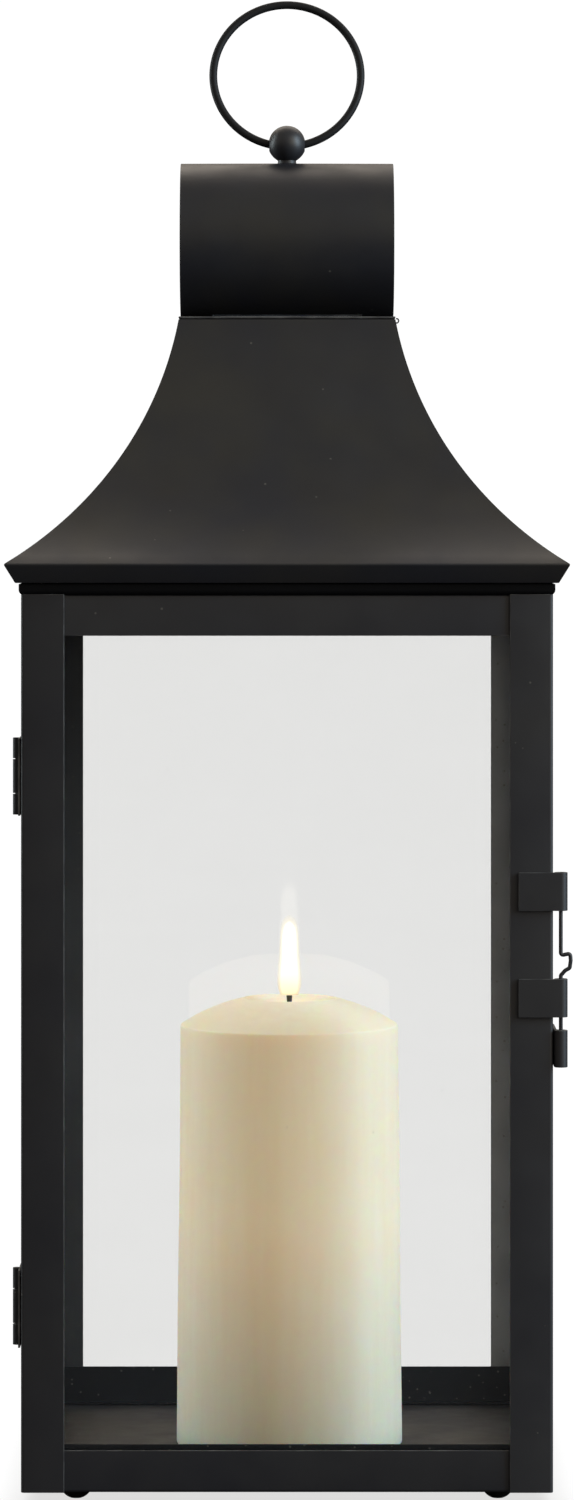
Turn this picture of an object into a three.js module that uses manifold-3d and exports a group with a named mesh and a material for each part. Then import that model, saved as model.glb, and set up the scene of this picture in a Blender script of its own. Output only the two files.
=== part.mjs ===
/**
 * Hurricane candle lantern: a square sheet-steel cage with glass on all four sides, a hinged door with a
 * drop-pin latch, a concave roof under a rolled chimney, a ring handle, and a flameless pillar candle.
 *
 * Millimetres, +Z up. The origin is under the middle of the lantern, level with the bottoms of its feet.
 * The door faces -Y, its hinges are on the -X side and its latch is on the +X side.
 */
import * as THREE from 'three';
import { mergeVertices } from 'three/addons/utils/BufferGeometryUtils.js';
import Module from 'manifold-3d';

// ---------------------------------------------------------------------------------------------------
// Driving dimensions

const GAP = 0.3; // between pieces that touch
const SHEET = 0.7; // steel sheet of the cage, the roof and the chimney

// Cage
const BODY_WIDTH = 172; // outside the corner posts, both ways
const BODY_HEIGHT = 290.4; // posts and door, underside to top
const POST_LEG = 14; // visible width of a post or a stile
const FRONT_POST_LEG = 12; // the leg of a front post that the door covers
const BOTTOM_RAIL_HEIGHT = 13.6;
const TOP_RAIL_HEIGHT = 13.5;
const LEDGE_WIDTH = 6; // the bottom rail's ledge, which carries the floor
const GLASS_THICKNESS = 2;
const RETAINER_RISE = 1.4; // how far a retainer shows above its rail
const RETAINER_FOOT = 3;

// Feet
const FOOT_DIAMETER = 10.5;
const FOOT_HEIGHT = 4.4; // visible below the cage
const FOOT_FLAT_DIAMETER = 3.6;
const FOOT_INSET = 17.3; // foot centre to the outside of the body

// Door
const DOOR_DEPTH = 8.6;
const DOOR_GAP = 0.4; // shut door to body

// Hinges
const HINGE_HEIGHT = 25;
const HINGE_INSET = 59.2; // hinge middle to the end of the door
const HINGE_SHEET = 0.65;
const HINGE_PIN_DIAMETER = 1.2;
const HINGE_PIN_CLEARANCE = 0.1;
const HINGE_MIDDLE_KNUCKLE = 11;
const HINGE_KNUCKLE_GAP = 0.3;
const DOOR_LEAF_WIDTH = 8;
const BODY_LEAF_WIDTH = 10;

// Latch
const LATCH_RISE = 31.9; // latch middle above the door's middle
const LATCH_SHEET = 1;
const LATCH_STRAP_HEIGHT = 12.4;
const LATCH_STRAP_LENGTH = 11.2; // on the stile's face
const LATCH_STRAP_SPACING = 34.4; // between the middles of the two straps
const LATCH_PIN_DIAMETER = 1.3;
const LATCH_PIN_CLEARANCE = 0.55; // round the pin in its eyes
const LATCH_CRANK_THROW = 3.2;
const LATCH_CRANK_HEIGHT = 6;
const LATCH_PIN_TIP_COVER = 1; // pin end short of the upper eye's top
const KEEPER_HEIGHT = 12;
const KEEPER_GAP = 4.2; // lower strap to keeper
const KEEPER_REACH = 13; // length of its plate on the body
const KEEPER_LIP_DEGREES = -25; // where the keeper's curl stops, which leaves its front open
const PIN_ENGAGEMENT = 10.5; // pin length inside the keeper

// Vent plate and roof
const NECK_HEIGHT = 3;
const VENT_DIAMETER = 90;
const EAVE_OVERHANG = 5.4;
const EAVE_FOOT_OVERHANG = 1.3;
const EAVE_LIP_HEIGHT = 6.1;
const EAVE_RETURN = 7.5; // width of the flat return under the eave
const ROOF_RISE = 80.5; // eave edge to the top of the panels
const ROOF_ARC_RADIUS = 120;
const ROOF_TOP_FLANGE = 5;
const ROOF_ARC_STEPS = 16;

// Chimney
const CHIMNEY_LENGTH = 71.7;
const CHIMNEY_DIAMETER = 51.7;
const CAP_MARGIN = 0.15; // roof cap beyond the chimney's ends
const FLUE_SLOT_LENGTH = 50;
const FLUE_SLOT_WIDTH = 18;

// Finial and ring handle
const BALL_DIAMETER = 13.1;
const BALL_CENTRE_RISE = 6.95; // above the chimney
const NECK_DIAMETER = 6.3;
const STUD_DIAMETER = 3;
const STUD_LENGTH = 6.5;
const NUT_ACROSS_FLATS = 7;
const NUT_HEIGHT = 2.6;
const RING_RADIUS = 25; // to the middle of its wire
const RING_WIRE = 2.7;
const RING_HOLE_DROP = 0.3; // hole below the ball's centre
const RING_LEAN_DEGREES = 13; // towards the back, where its friction holds it
const RING_HOLE_CLEARANCE = 0.15;

// Candle
const CANDLE_OFFSET = 0.8; // to the right of the lantern's middle
const CANDLE_HEIGHT = 150.3;
const CANDLE_DIAMETER = 76.4;
const CANDLE_TOP_DIAMETER = 73.7;
const CANDLE_SHOULDER = 9;
const CANDLE_DOME_RADIUS = 68; // of the arc from the shoulder to the pool
const POOL_DIAMETER = 31;
const POOL_DEPTH = 1.9;
const CUP_DIAMETER = 60;
const CUP_HEIGHT = 68;
const CUP_WALL = 1.5;
const CUP_RECESS = 0.6; // cup above the bottom of the wax
const COVER_DIAMETER = 42;
const COVER_CLEARANCE = 0.4;
const COVER_GRIP_LENGTH = 16;
const COVER_GRIP_WIDTH = 2;
const BATTERY_DIAMETER = 14.2;
const BATTERY_LENGTH = 50;
const BUTTON_DIAMETER = 5.4;
const BUTTON_HEIGHT = 1.4;
const BATTERY_SPACING = 16.5;
const SWITCH_SLOT_LENGTH = 10;
const SWITCH_SLOT_WIDTH = 3.4;
const SWITCH_LENGTH = 5.4;
const SWITCH_FLANGE = 1; // how far its head overlaps the slot
const WICK_DIAMETER = 2;
const WICK_RISE = 2.65; // above the pool
const FLAME_HEIGHT = 27;
const FLAME_DIAMETER = 8.3;
const LED_DIAMETER = 1.8;
const LED_HEIGHT = 2.4;

// ---------------------------------------------------------------------------------------------------
// Levels and planes that follow from them

const UNDERSIDE = FOOT_HEIGHT;
const FLOOR_BOTTOM = UNDERSIDE + SHEET + GAP;
const FLOOR_TOP = FLOOR_BOTTOM + SHEET;
const BODY_TOP = UNDERSIDE + BODY_HEIGHT;
const BODY_MIDDLE = (UNDERSIDE + BODY_TOP) / 2;
const NECK_BOTTOM = BODY_TOP + GAP;
const EAVE_BOTTOM = NECK_BOTTOM + NECK_HEIGHT + GAP;
const EAVE_EDGE = EAVE_BOTTOM + EAVE_LIP_HEIGHT;
const CAP_BOTTOM = EAVE_EDGE + ROOF_RISE + GAP;
const CHIMNEY_CENTRE = CAP_BOTTOM + SHEET + GAP + CHIMNEY_DIAMETER / 2;
const CHIMNEY_TOP = CHIMNEY_CENTRE + CHIMNEY_DIAMETER / 2;
const BALL_CENTRE = CHIMNEY_TOP + BALL_CENTRE_RISE;

// Distances of upright planes from the lantern's axis
const OUTSIDE = BODY_WIDTH / 2;
const RAIL_FACE = OUTSIDE - SHEET - GAP;
const GLASS_OUTSIDE = RAIL_FACE - SHEET - GAP;
const GLASS_INSIDE = GLASS_OUTSIDE - GLASS_THICKNESS;
const CLAMP_FACE = GLASS_INSIDE - GAP;
const CLAMP_BACK = CLAMP_FACE - SHEET;
const RETAINER_EDGE = CLAMP_FACE - RETAINER_FOOT;
const LEDGE_EDGE = RAIL_FACE - LEDGE_WIDTH;
const BODY_FRONT = OUTSIDE - DOOR_DEPTH - DOOR_GAP;
const BODY_FRONT_INSIDE = BODY_FRONT - SHEET - GAP;
const CAP_HALF = CHIMNEY_LENGTH / 2 + CAP_MARGIN;

// ---------------------------------------------------------------------------------------------------
// Materials

const blackPaint = new THREE.MeshStandardMaterial({ color: 0x232326, roughness: 0.5, metalness: 0.4 });
const blackRubber = new THREE.MeshStandardMaterial({ color: 0x101011, roughness: 0.85, metalness: 0 });
const clearGlass = new THREE.MeshStandardMaterial({
  color: 0xe6e6e3,
  roughness: 0.05,
  metalness: 0,
  transparent: true,
  opacity: 0.2,
});
const platedSteel = new THREE.MeshStandardMaterial({ color: 0x9a9a98, roughness: 0.35, metalness: 1 });
const ivoryWax = new THREE.MeshStandardMaterial({ color: 0xdcd7bd, roughness: 0.55, metalness: 0 });
const whitePlastic = new THREE.MeshStandardMaterial({ color: 0xe4e2da, roughness: 0.6, metalness: 0 });
const blackPlastic = new THREE.MeshStandardMaterial({ color: 0x15110c, roughness: 0.7, metalness: 0 });
const batteryJacket = new THREE.MeshStandardMaterial({ color: 0x3c5a46, roughness: 0.4, metalness: 0.3 });
const flameGlow = new THREE.MeshStandardMaterial({
  color: 0xfff3cf,
  roughness: 0.4,
  metalness: 0,
  emissive: 0xffe9a8,
});

// ---------------------------------------------------------------------------------------------------
// Shape helpers

const AXIS_X = new THREE.Vector3(1, 0, 0);
const AXIS_Y = new THREE.Vector3(0, 1, 0);
const AXIS_Z = new THREE.Vector3(0, 0, 1);

const manifold = await Module();
manifold.setup();

/** A manifold solid with the surface of a closed geometry. */
function toSolid(geometry) {
  const bare = geometry.clone();
  bare.deleteAttribute('normal');
  bare.deleteAttribute('uv');
  const merged = mergeVertices(bare);
  const mesh = new manifold.Mesh({
    numProp: 3,
    vertProperties: new Float32Array(merged.attributes.position.array),
    triVerts: new Uint32Array(merged.index.array),
  });
  return new manifold.Manifold(mesh);
}

/** The geometry of a manifold solid. */
function toGeometry(solid) {
  const mesh = solid.getMesh();
  const geometry = new THREE.BufferGeometry();
  geometry.setAttribute('position', new THREE.BufferAttribute(mesh.vertProperties, 3));
  geometry.setIndex(new THREE.BufferAttribute(mesh.triVerts, 1));
  geometry.computeVertexNormals();
  return geometry;
}

/** One geometry with others cut out of it. */
function cut(geometry, ...tools) {
  return toGeometry(tools.reduce((solid, tool) => solid.subtract(toSolid(tool)), toSolid(geometry)));
}

/** Several overlapping geometries as one. */
function join(first, ...others) {
  return toGeometry(others.reduce((solid, other) => solid.add(toSolid(other)), toSolid(first)));
}

/** A box between two opposite corners. */
function box([x0, y0, z0], [x1, y1, z1]) {
  const geometry = new THREE.BoxGeometry(Math.abs(x1 - x0), Math.abs(y1 - y0), Math.abs(z1 - z0));
  return geometry.translate((x0 + x1) / 2, (y0 + y1) / 2, (z0 + z1) / 2);
}

/** Points on an arc, its angles in degrees. */
function arc([a, b], radius, from, to, steps) {
  return Array.from({ length: steps + 1 }, (_, i) => {
    const angle = THREE.MathUtils.degToRad(from + ((to - from) * i) / steps);
    return [a + radius * Math.cos(angle), b + radius * Math.sin(angle)];
  });
}

/** Points on the arc from start to end whose centre is on the right of the way there. */
function arcBetween(start, end, radius, steps) {
  const chord = [end[0] - start[0], end[1] - start[1]];
  const length = Math.hypot(...chord);
  const reach = Math.sqrt(radius ** 2 - (length / 2) ** 2) / length;
  const centre = [
    (start[0] + end[0]) / 2 + chord[1] * reach,
    (start[1] + end[1]) / 2 - chord[0] * reach,
  ];
  const from = Math.atan2(start[1] - centre[1], start[0] - centre[0]);
  const turn = 2 * Math.asin(length / 2 / radius);
  return arc(centre, radius, THREE.MathUtils.radToDeg(from), THREE.MathUtils.radToDeg(from - turn), steps);
}

/**
 * Outline of a bent sheet. One face of the sheet follows the given points, and the other lies to the
 * left of the way along them by the thickness, or to the right where the thickness is negative.
 */
function sheetOutline(face, thickness) {
  const heading = face.slice(1).map(([a, b], i) => {
    const step = [a - face[i][0], b - face[i][1]];
    const length = Math.hypot(...step);
    return [step[0] / length, step[1] / length];
  });
  const other = face.map(([a, b], i) => {
    const before = heading[Math.max(i - 1, 0)];
    const after = heading[Math.min(i, heading.length - 1)];
    const share = thickness / (1 + before[0] * after[0] + before[1] * after[1]);
    return [a - (before[1] + after[1]) * share, b + (before[0] + after[0]) * share];
  });
  return [...face, ...other.reverse()];
}

/**
 * Extrudes an outline along an axis, between two places on it. The outline's points are (x, y) along z,
 * (y, z) along x and (x, z) along y.
 */
function prism(outline, along, from, to, hole = []) {
  const shape = new THREE.Shape(outline.map(([a, b]) => new THREE.Vector2(a, b)));
  if (hole.length > 0) {
    shape.holes.push(new THREE.Path(hole.map(([a, b]) => new THREE.Vector2(a, b))));
  }
  const geometry = new THREE.ExtrudeGeometry(shape, { depth: to - from, bevelEnabled: false });
  const place = new THREE.Matrix4();
  if (along === 'x') {
    place.makeBasis(AXIS_Y, AXIS_Z, AXIS_X).setPosition(from, 0, 0);
  } else if (along === 'y') {
    place.makeBasis(AXIS_X, AXIS_Z, AXIS_Y.clone().negate()).setPosition(0, to, 0);
  } else {
    place.setPosition(0, 0, from);
  }
  return geometry.applyMatrix4(place);
}

/** A round bar along z. */
function rod(radius, from, to, sides = 24) {
  const geometry = new THREE.CylinderGeometry(radius, radius, to - from, sides);
  return geometry.rotateX(Math.PI / 2).translate(0, 0, (from + to) / 2);
}

/** A turned shape about z, from a profile of [radius, z] points. */
function turned(profile, sides) {
  const points = profile.map(([radius, z]) => new THREE.Vector2(radius, z));
  return new THREE.LatheGeometry(points, sides).rotateX(Math.PI / 2);
}

/** Adds a named mesh to a group. */
function add(group, name, geometry, material) {
  const mesh = new THREE.Mesh(geometry, material);
  mesh.name = name;
  group.add(mesh);
}

// ---------------------------------------------------------------------------------------------------
// Cage, door frame and glass

/** Section of an upright angle whose outer corner is at (x, y), with legs running inwards from it. */
function angleSection(x, y, legX, legY) {
  const side = Math.sign(x);
  const end = Math.sign(y);
  const face = [
    [Math.abs(x), Math.abs(y) - legY],
    [Math.abs(x), Math.abs(y)],
    [Math.abs(x) - legX, Math.abs(y)],
  ];
  return sheetOutline(face, SHEET).map(([a, b]) => [side * a, end * b]);
}

function addPosts(group) {
  for (const [side, sign] of [['left', -1], ['right', 1]]) {
    const x = sign * OUTSIDE;
    const rear = angleSection(x, OUTSIDE, POST_LEG, POST_LEG);
    const front = angleSection(x, -BODY_FRONT, FRONT_POST_LEG, POST_LEG);
    add(group, `post_rear_${side}`, prism(rear, 'z', UNDERSIDE, BODY_TOP), blackPaint);
    add(group, `post_front_${side}`, prism(front, 'z', UNDERSIDE, BODY_TOP), blackPaint);
  }
}

/**
 * Rails, glass and retainer of one side, built facing +Y. Rails and glass run along x between the
 * places given, and the glass stands at the height `sill`.
 */
function makeWindow(name, { rails, glass, retainer, sill }) {
  const group = new THREE.Group();
  const bottomRail = [
    [RAIL_FACE, UNDERSIDE + BOTTOM_RAIL_HEIGHT],
    [RAIL_FACE, UNDERSIDE],
    [LEDGE_EDGE, UNDERSIDE],
  ];
  const topRail = [
    [RAIL_FACE, BODY_TOP - TOP_RAIL_HEIGHT],
    [RAIL_FACE, BODY_TOP],
    [CLAMP_BACK, BODY_TOP],
    [CLAMP_BACK, BODY_TOP - TOP_RAIL_HEIGHT + RETAINER_RISE],
  ];
  const retainerStrip = [
    [CLAMP_FACE, UNDERSIDE + BOTTOM_RAIL_HEIGHT + RETAINER_RISE],
    [CLAMP_FACE, sill],
    [RETAINER_EDGE, sill],
  ];
  add(group, `${name}_bottom_rail`, prism(sheetOutline(bottomRail, -SHEET), 'x', ...rails), blackPaint);
  add(group, `${name}_top_rail`, prism(sheetOutline(topRail, SHEET), 'x', ...rails), blackPaint);
  add(group, `${name}_retainer`, prism(sheetOutline(retainerStrip, -SHEET), 'x', ...retainer), blackPaint);
  const pane = box([glass[0], GLASS_INSIDE, sill], [glass[1], GLASS_OUTSIDE, BODY_TOP - SHEET - GAP]);
  add(group, `${name}_glass`, pane, clearGlass);
  return group;
}

/** Turns a range round, for a window that is built the other way about. */
function reversed([from, to]) {
  return [-to, -from];
}

function addFixedWindows(group) {
  const sill = FLOOR_TOP + GAP;
  const rear = makeWindow('rear', {
    rails: [-RAIL_FACE, RAIL_FACE],
    glass: [-GLASS_OUTSIDE, GLASS_OUTSIDE],
    retainer: [-CLAMP_FACE, CLAMP_FACE],
    sill,
  });
  group.add(rear);
  const sideRails = [-BODY_FRONT_INSIDE, LEDGE_EDGE - GAP];
  const sideGlass = [-BODY_FRONT_INSIDE, CLAMP_BACK - GAP];
  const sideRetainer = [-BODY_FRONT_INSIDE, RETAINER_EDGE - GAP];
  const left = makeWindow('left', { rails: sideRails, glass: sideGlass, retainer: sideRetainer, sill });
  left.rotation.z = Math.PI / 2;
  group.add(left);
  const right = makeWindow('right', {
    rails: reversed(sideRails),
    glass: reversed(sideGlass),
    retainer: reversed(sideRetainer),
    sill,
  });
  right.rotation.z = -Math.PI / 2;
  group.add(right);
}

function addFloor(group) {
  const front = [-GLASS_OUTSIDE, -BODY_FRONT_INSIDE, FLOOR_BOTTOM];
  const back = [GLASS_OUTSIDE, GLASS_OUTSIDE, FLOOR_TOP];
  add(group, 'floor_plate', box(front, back), blackPaint);
}

function addFeet(group) {
  const radius = FOOT_DIAMETER / 2;
  const top = FLOOR_BOTTOM - GAP;
  const slope = Math.asin(FOOT_FLAT_DIAMETER / FOOT_DIAMETER);
  const dome = arc([0, 0], 1, -90 + THREE.MathUtils.radToDeg(slope), 0, 6);
  const stretch = FOOT_HEIGHT / Math.cos(slope);
  const profile = [
    [0, 0],
    ...dome.map(([a, b]) => [a * radius, FOOT_HEIGHT + b * stretch]),
    [radius, top],
    [0, top],
  ];
  const place = OUTSIDE - FOOT_INSET;
  for (const [end, y] of [['front', -place], ['rear', place]]) {
    for (const [side, x] of [['left', -place], ['right', place]]) {
      const foot = turned(profile, 24).translate(x, y, 0);
      add(group, `foot_${end}_${side}`, foot, blackRubber);
    }
  }
}

function makeDoor() {
  const group = new THREE.Group();
  for (const [side, sign] of [['left', -1], ['right', 1]]) {
    const section = angleSection(sign * OUTSIDE, -OUTSIDE, POST_LEG, DOOR_DEPTH);
    add(group, `door_stile_${side}`, prism(section, 'z', UNDERSIDE, BODY_TOP), blackPaint);
  }
  const pane = makeWindow('door', {
    rails: [-RAIL_FACE, RAIL_FACE],
    glass: [-GLASS_OUTSIDE, GLASS_OUTSIDE],
    retainer: [-CLAMP_FACE, CLAMP_FACE],
    sill: UNDERSIDE + SHEET + GAP,
  });
  pane.rotation.z = Math.PI;
  group.add(pane);
  return group;
}

// ---------------------------------------------------------------------------------------------------
// Hinges and latch

const KNUCKLE_BORE = HINGE_PIN_DIAMETER / 2 + HINGE_PIN_CLEARANCE;
const KNUCKLE_RADIUS = KNUCKLE_BORE + HINGE_SHEET;
const HINGE_X = -OUTSIDE - GAP - KNUCKLE_RADIUS;
const HINGE_Y = -BODY_FRONT;

/** Section of a hinge leaf with its rolled knuckle, about the pin. It runs towards +Y. */
function leafSection(width) {
  const roll = arc([0, 0], KNUCKLE_RADIUS, 0, -300, 20);
  return sheetOutline([[KNUCKLE_RADIUS, width], ...roll], -HINGE_SHEET);
}

/** A hinge leaf about the pin, with knuckles at the heights given as [from, to] pairs. */
function makeLeaf(width, knuckles) {
  const start = KNUCKLE_RADIUS + GAP;
  const half = HINGE_HEIGHT / 2;
  const plate = box([KNUCKLE_RADIUS - HINGE_SHEET, start, -half], [KNUCKLE_RADIUS, width, half]);
  const section = leafSection(width);
  return join(plate, ...knuckles.map(([from, to]) => prism(section, 'z', from, to)));
}

/** Adds one hinge at the height given: a leaf and the pin on the body, the other leaf on the door. */
function addHinge(name, z, body, door) {
  const half = HINGE_HEIGHT / 2;
  const middle = HINGE_MIDDLE_KNUCKLE / 2;
  const clear = middle + HINGE_KNUCKLE_GAP;
  const bodyLeaf = makeLeaf(BODY_LEAF_WIDTH, [[-half, -clear], [clear, half]]);
  add(body, `${name}_body_leaf`, bodyLeaf.translate(HINGE_X, HINGE_Y, z), blackPaint);
  const doorLeaf = makeLeaf(DOOR_LEAF_WIDTH, [[-middle, middle]]);
  doorLeaf.rotateX(Math.PI);
  add(door, `${name}_door_leaf`, doorLeaf.translate(HINGE_X, HINGE_Y, z), blackPaint);
  const pin = rod(HINGE_PIN_DIAMETER / 2, -half, half, 16);
  add(body, `${name}_pin`, pin.translate(HINGE_X, HINGE_Y, z), blackPaint);
}

const EYE_RADIUS = LATCH_PIN_DIAMETER / 2 + LATCH_PIN_CLEARANCE + LATCH_SHEET;
const EYE_X = OUTSIDE + GAP + EYE_RADIUS;
const STRAP_FACE = -OUTSIDE - GAP - LATCH_SHEET;
const EYE_Y = STRAP_FACE + EYE_RADIUS;
const LATCH_MIDDLE = BODY_MIDDLE + LATCH_RISE;
const UPPER_STRAP = LATCH_MIDDLE + LATCH_STRAP_SPACING / 2 + LATCH_STRAP_HEIGHT / 2;
const LOWER_STRAP = LATCH_MIDDLE - LATCH_STRAP_SPACING / 2 + LATCH_STRAP_HEIGHT / 2;
const KEEPER_TOP = LOWER_STRAP - LATCH_STRAP_HEIGHT - KEEPER_GAP;

/** Adds the two door straps, each rolled into an eye beside the door's edge. Heights are their tops. */
function addLatchStraps(door) {
  const start = [OUTSIDE - LATCH_STRAP_LENGTH, STRAP_FACE];
  const roll = arc([EYE_X, EYE_Y], EYE_RADIUS, -90, 215, 24);
  const section = sheetOutline([start, ...roll], LATCH_SHEET);
  for (const [name, top] of [['latch_strap_upper', UPPER_STRAP], ['latch_strap_lower', LOWER_STRAP]]) {
    add(door, name, prism(section, 'z', top - LATCH_STRAP_HEIGHT, top), blackPaint);
  }
}

/** Adds the keeper, a plate on the body's side with its end curled round the pin and open in front. */
function addKeeper(body) {
  const plateFace = OUTSIDE + GAP + LATCH_SHEET;
  const bend = EYE_Y + EYE_RADIUS + LATCH_SHEET / 2;
  const curl = arc([EYE_X, EYE_Y], EYE_RADIUS, 110, KEEPER_LIP_DEGREES, 14);
  const face = [[plateFace, KEEPER_REACH - BODY_FRONT], [plateFace, bend], ...curl];
  const section = sheetOutline(face, -LATCH_SHEET);
  add(body, 'latch_keeper', prism(section, 'z', KEEPER_TOP - KEEPER_HEIGHT, KEEPER_TOP), blackPaint);
}

/** A round wire along a smooth curve. */
function wire(curve, radius, steps) {
  const circle = arc([0, 0], radius, 0, 330, 11).map(([a, b]) => new THREE.Vector2(a, b));
  const section = new THREE.Shape(circle);
  return new THREE.ExtrudeGeometry(section, { steps, extrudePath: curve, bevelEnabled: false });
}

/** The latch pin: a straight wire with a sideways crank that rests on the lower eye. */
function makeLatchPin() {
  const radius = LATCH_PIN_DIAMETER / 2;
  const crankFoot = LOWER_STRAP + GAP + radius;
  const crankTop = crankFoot + LATCH_CRANK_HEIGHT;
  const tip = KEEPER_TOP - PIN_ENGAGEMENT;
  const top = UPPER_STRAP - LATCH_PIN_TIP_COVER;
  const point = (x, z) => new THREE.Vector3(EYE_X + x, EYE_Y, z);
  const bend = LATCH_CRANK_THROW / 2;
  const path = new THREE.CurvePath();
  path.add(new THREE.LineCurve3(point(0, tip), point(0, crankFoot)));
  path.add(
    new THREE.CubicBezierCurve3(
      point(0, crankFoot),
      point(0, crankFoot + bend),
      point(LATCH_CRANK_THROW, crankFoot + bend / 2),
      point(LATCH_CRANK_THROW, crankFoot + 2 * bend),
    ),
  );
  path.add(
    new THREE.LineCurve3(
      point(LATCH_CRANK_THROW, crankFoot + 2 * bend),
      point(LATCH_CRANK_THROW, crankTop - bend),
    ),
  );
  path.add(
    new THREE.CubicBezierCurve3(
      point(LATCH_CRANK_THROW, crankTop - bend),
      point(LATCH_CRANK_THROW, crankTop + bend / 2),
      point(0, crankTop - bend / 2),
      point(0, crankTop + bend),
    ),
  );
  path.add(new THREE.LineCurve3(point(0, crankTop + bend), point(0, top)));
  return wire(path, radius, 72);
}

// ---------------------------------------------------------------------------------------------------
// Roof, chimney and handle

/** The plate over the glass, with an upturned rim that shows as the neck, and a round vent. */
function makeVentPlate() {
  const top = NECK_BOTTOM + NECK_HEIGHT;
  const block = box([-OUTSIDE, -OUTSIDE, NECK_BOTTOM], [OUTSIDE, OUTSIDE, top]);
  const inside = OUTSIDE - SHEET;
  const hollow = box([-inside, -inside, NECK_BOTTOM + SHEET], [inside, inside, top + 1]);
  const vent = rod(VENT_DIAMETER / 2, NECK_BOTTOM - 1, top, 48);
  return cut(block, hollow, vent);
}

/**
 * A roof panel facing -Y, from its section of [distance from the axis, z] points. Its two ends are
 * mitred at 45 degrees, and stop half a gap short of the mitre.
 */
function mitredPanel(section) {
  const outline = section.map(([a, b]) => new THREE.Vector2(a, b));
  if (THREE.ShapeUtils.isClockWise(outline)) {
    outline.reverse();
  }
  const short = GAP / Math.SQRT2;
  const count = outline.length;
  const positions = [
    ...outline.flatMap(({ x, y }) => [short - x, -x, y]),
    ...outline.flatMap(({ x, y }) => [x - short, -x, y]),
  ];
  const faces = [];
  for (let i = 0; i < count; i += 1) {
    const next = (i + 1) % count;
    faces.push(i, i + count, next + count, i, next + count, next);
  }
  for (const [a, b, c] of THREE.ShapeUtils.triangulateShape(outline, [])) {
    faces.push(a, b, c, a + count, c + count, b + count);
  }
  const geometry = new THREE.BufferGeometry();
  geometry.setAttribute('position', new THREE.Float32BufferAttribute(positions, 3));
  geometry.setIndex(faces);
  geometry.computeVertexNormals();
  return geometry;
}

function addRoof(group) {
  const lipFoot = OUTSIDE + EAVE_FOOT_OVERHANG;
  const eave = [OUTSIDE + EAVE_OVERHANG, EAVE_EDGE];
  const top = [CAP_HALF, EAVE_EDGE + ROOF_RISE];
  const face = [
    [lipFoot - EAVE_RETURN, EAVE_BOTTOM],
    [lipFoot, EAVE_BOTTOM],
    ...arcBetween(eave, top, ROOF_ARC_RADIUS, ROOF_ARC_STEPS),
    [CAP_HALF - ROOF_TOP_FLANGE, EAVE_EDGE + ROOF_RISE],
  ];
  const section = sheetOutline(face, SHEET);
  ['front', 'right', 'rear', 'left'].forEach((side, i) => {
    const panel = new THREE.Mesh(mitredPanel(section), blackPaint);
    panel.name = `roof_panel_${side}`;
    panel.rotation.z = (i * Math.PI) / 2;
    group.add(panel);
  });
}

/** The flue slot as a tool that reaches through everything between two heights. */
function flueSlot(from, to) {
  const x = FLUE_SLOT_LENGTH / 2;
  const y = FLUE_SLOT_WIDTH / 2;
  return box([-x, -y, from], [x, y, to]);
}

function makeRoofCap() {
  const plate = box([-CAP_HALF, -CAP_HALF, CAP_BOTTOM], [CAP_HALF, CAP_HALF, CAP_BOTTOM + SHEET]);
  return cut(plate, flueSlot(CAP_BOTTOM - 1, CAP_BOTTOM + SHEET + 1));
}

/** The chimney: a rolled tube along x, slotted over the flue and drilled for the finial's stud. */
function makeChimney() {
  const centre = [0, CHIMNEY_CENTRE];
  const radius = CHIMNEY_DIAMETER / 2;
  const outer = arc(centre, radius, 0, 354, 59);
  const inner = arc(centre, radius - SHEET, 0, 354, 59);
  const half = CHIMNEY_LENGTH / 2;
  const tube = prism(outer, 'x', -half, half, inner);
  const studHole = rod(STUD_DIAMETER / 2 + GAP, CHIMNEY_CENTRE, CHIMNEY_TOP + 1, 20);
  return cut(tube, flueSlot(CAP_BOTTOM, CHIMNEY_CENTRE), studHole);
}

const BALL_RADIUS = BALL_DIAMETER / 2;
const RING_SAG = RING_RADIUS - Math.sqrt(RING_RADIUS ** 2 - BALL_RADIUS ** 2);
const RING_PIVOT = BALL_CENTRE - RING_HOLE_DROP;
const STUD_END = CHIMNEY_TOP + GAP - STUD_LENGTH;

/** The ball finial on its neck, with a threaded stud below and a cross hole for the ring. */
function makeFinial() {
  const neckBottom = CHIMNEY_TOP + GAP;
  const neckRadius = NECK_DIAMETER / 2;
  const neckAngle = -THREE.MathUtils.radToDeg(Math.acos(neckRadius / BALL_RADIUS));
  const profile = [
    [0, STUD_END],
    [STUD_DIAMETER / 2, STUD_END],
    [STUD_DIAMETER / 2, neckBottom],
    [neckRadius, neckBottom],
    ...arc([0, BALL_CENTRE], BALL_RADIUS, neckAngle, 84, 14),
    [0, BALL_CENTRE + BALL_RADIUS],
  ];
  const holeRadius = RING_WIRE / 2 + RING_SAG / 2 + RING_HOLE_CLEARANCE;
  const hole = rod(holeRadius, -BALL_DIAMETER, BALL_DIAMETER, 24).rotateY(Math.PI / 2);
  return cut(turned(profile, 32), hole.translate(0, 0, RING_PIVOT));
}

function makeFinialNut() {
  const corner = NUT_ACROSS_FLATS / Math.sqrt(3);
  const hex = arc([0, 0], corner, 0, 300, 5);
  const hole = arc([0, 0], STUD_DIAMETER / 2 + GAP, 0, 345, 23);
  const inside = CHIMNEY_DIAMETER / 2 - SHEET;
  const top = CHIMNEY_CENTRE + Math.sqrt(inside ** 2 - corner ** 2) - GAP;
  return prism(hex, 'z', top - NUT_HEIGHT, top, hole);
}

/** The ring handle, leaning back a little, about its pivot in the ball. */
function makeRing() {
  const ring = new THREE.TorusGeometry(RING_RADIUS, RING_WIRE / 2, 12, 72).rotateX(Math.PI / 2);
  ring.translate(0, 0, RING_RADIUS - RING_SAG / 2);
  return ring.rotateX(-THREE.MathUtils.degToRad(RING_LEAN_DEGREES));
}

// ---------------------------------------------------------------------------------------------------
// Candle, about the middle of its bottom

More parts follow.
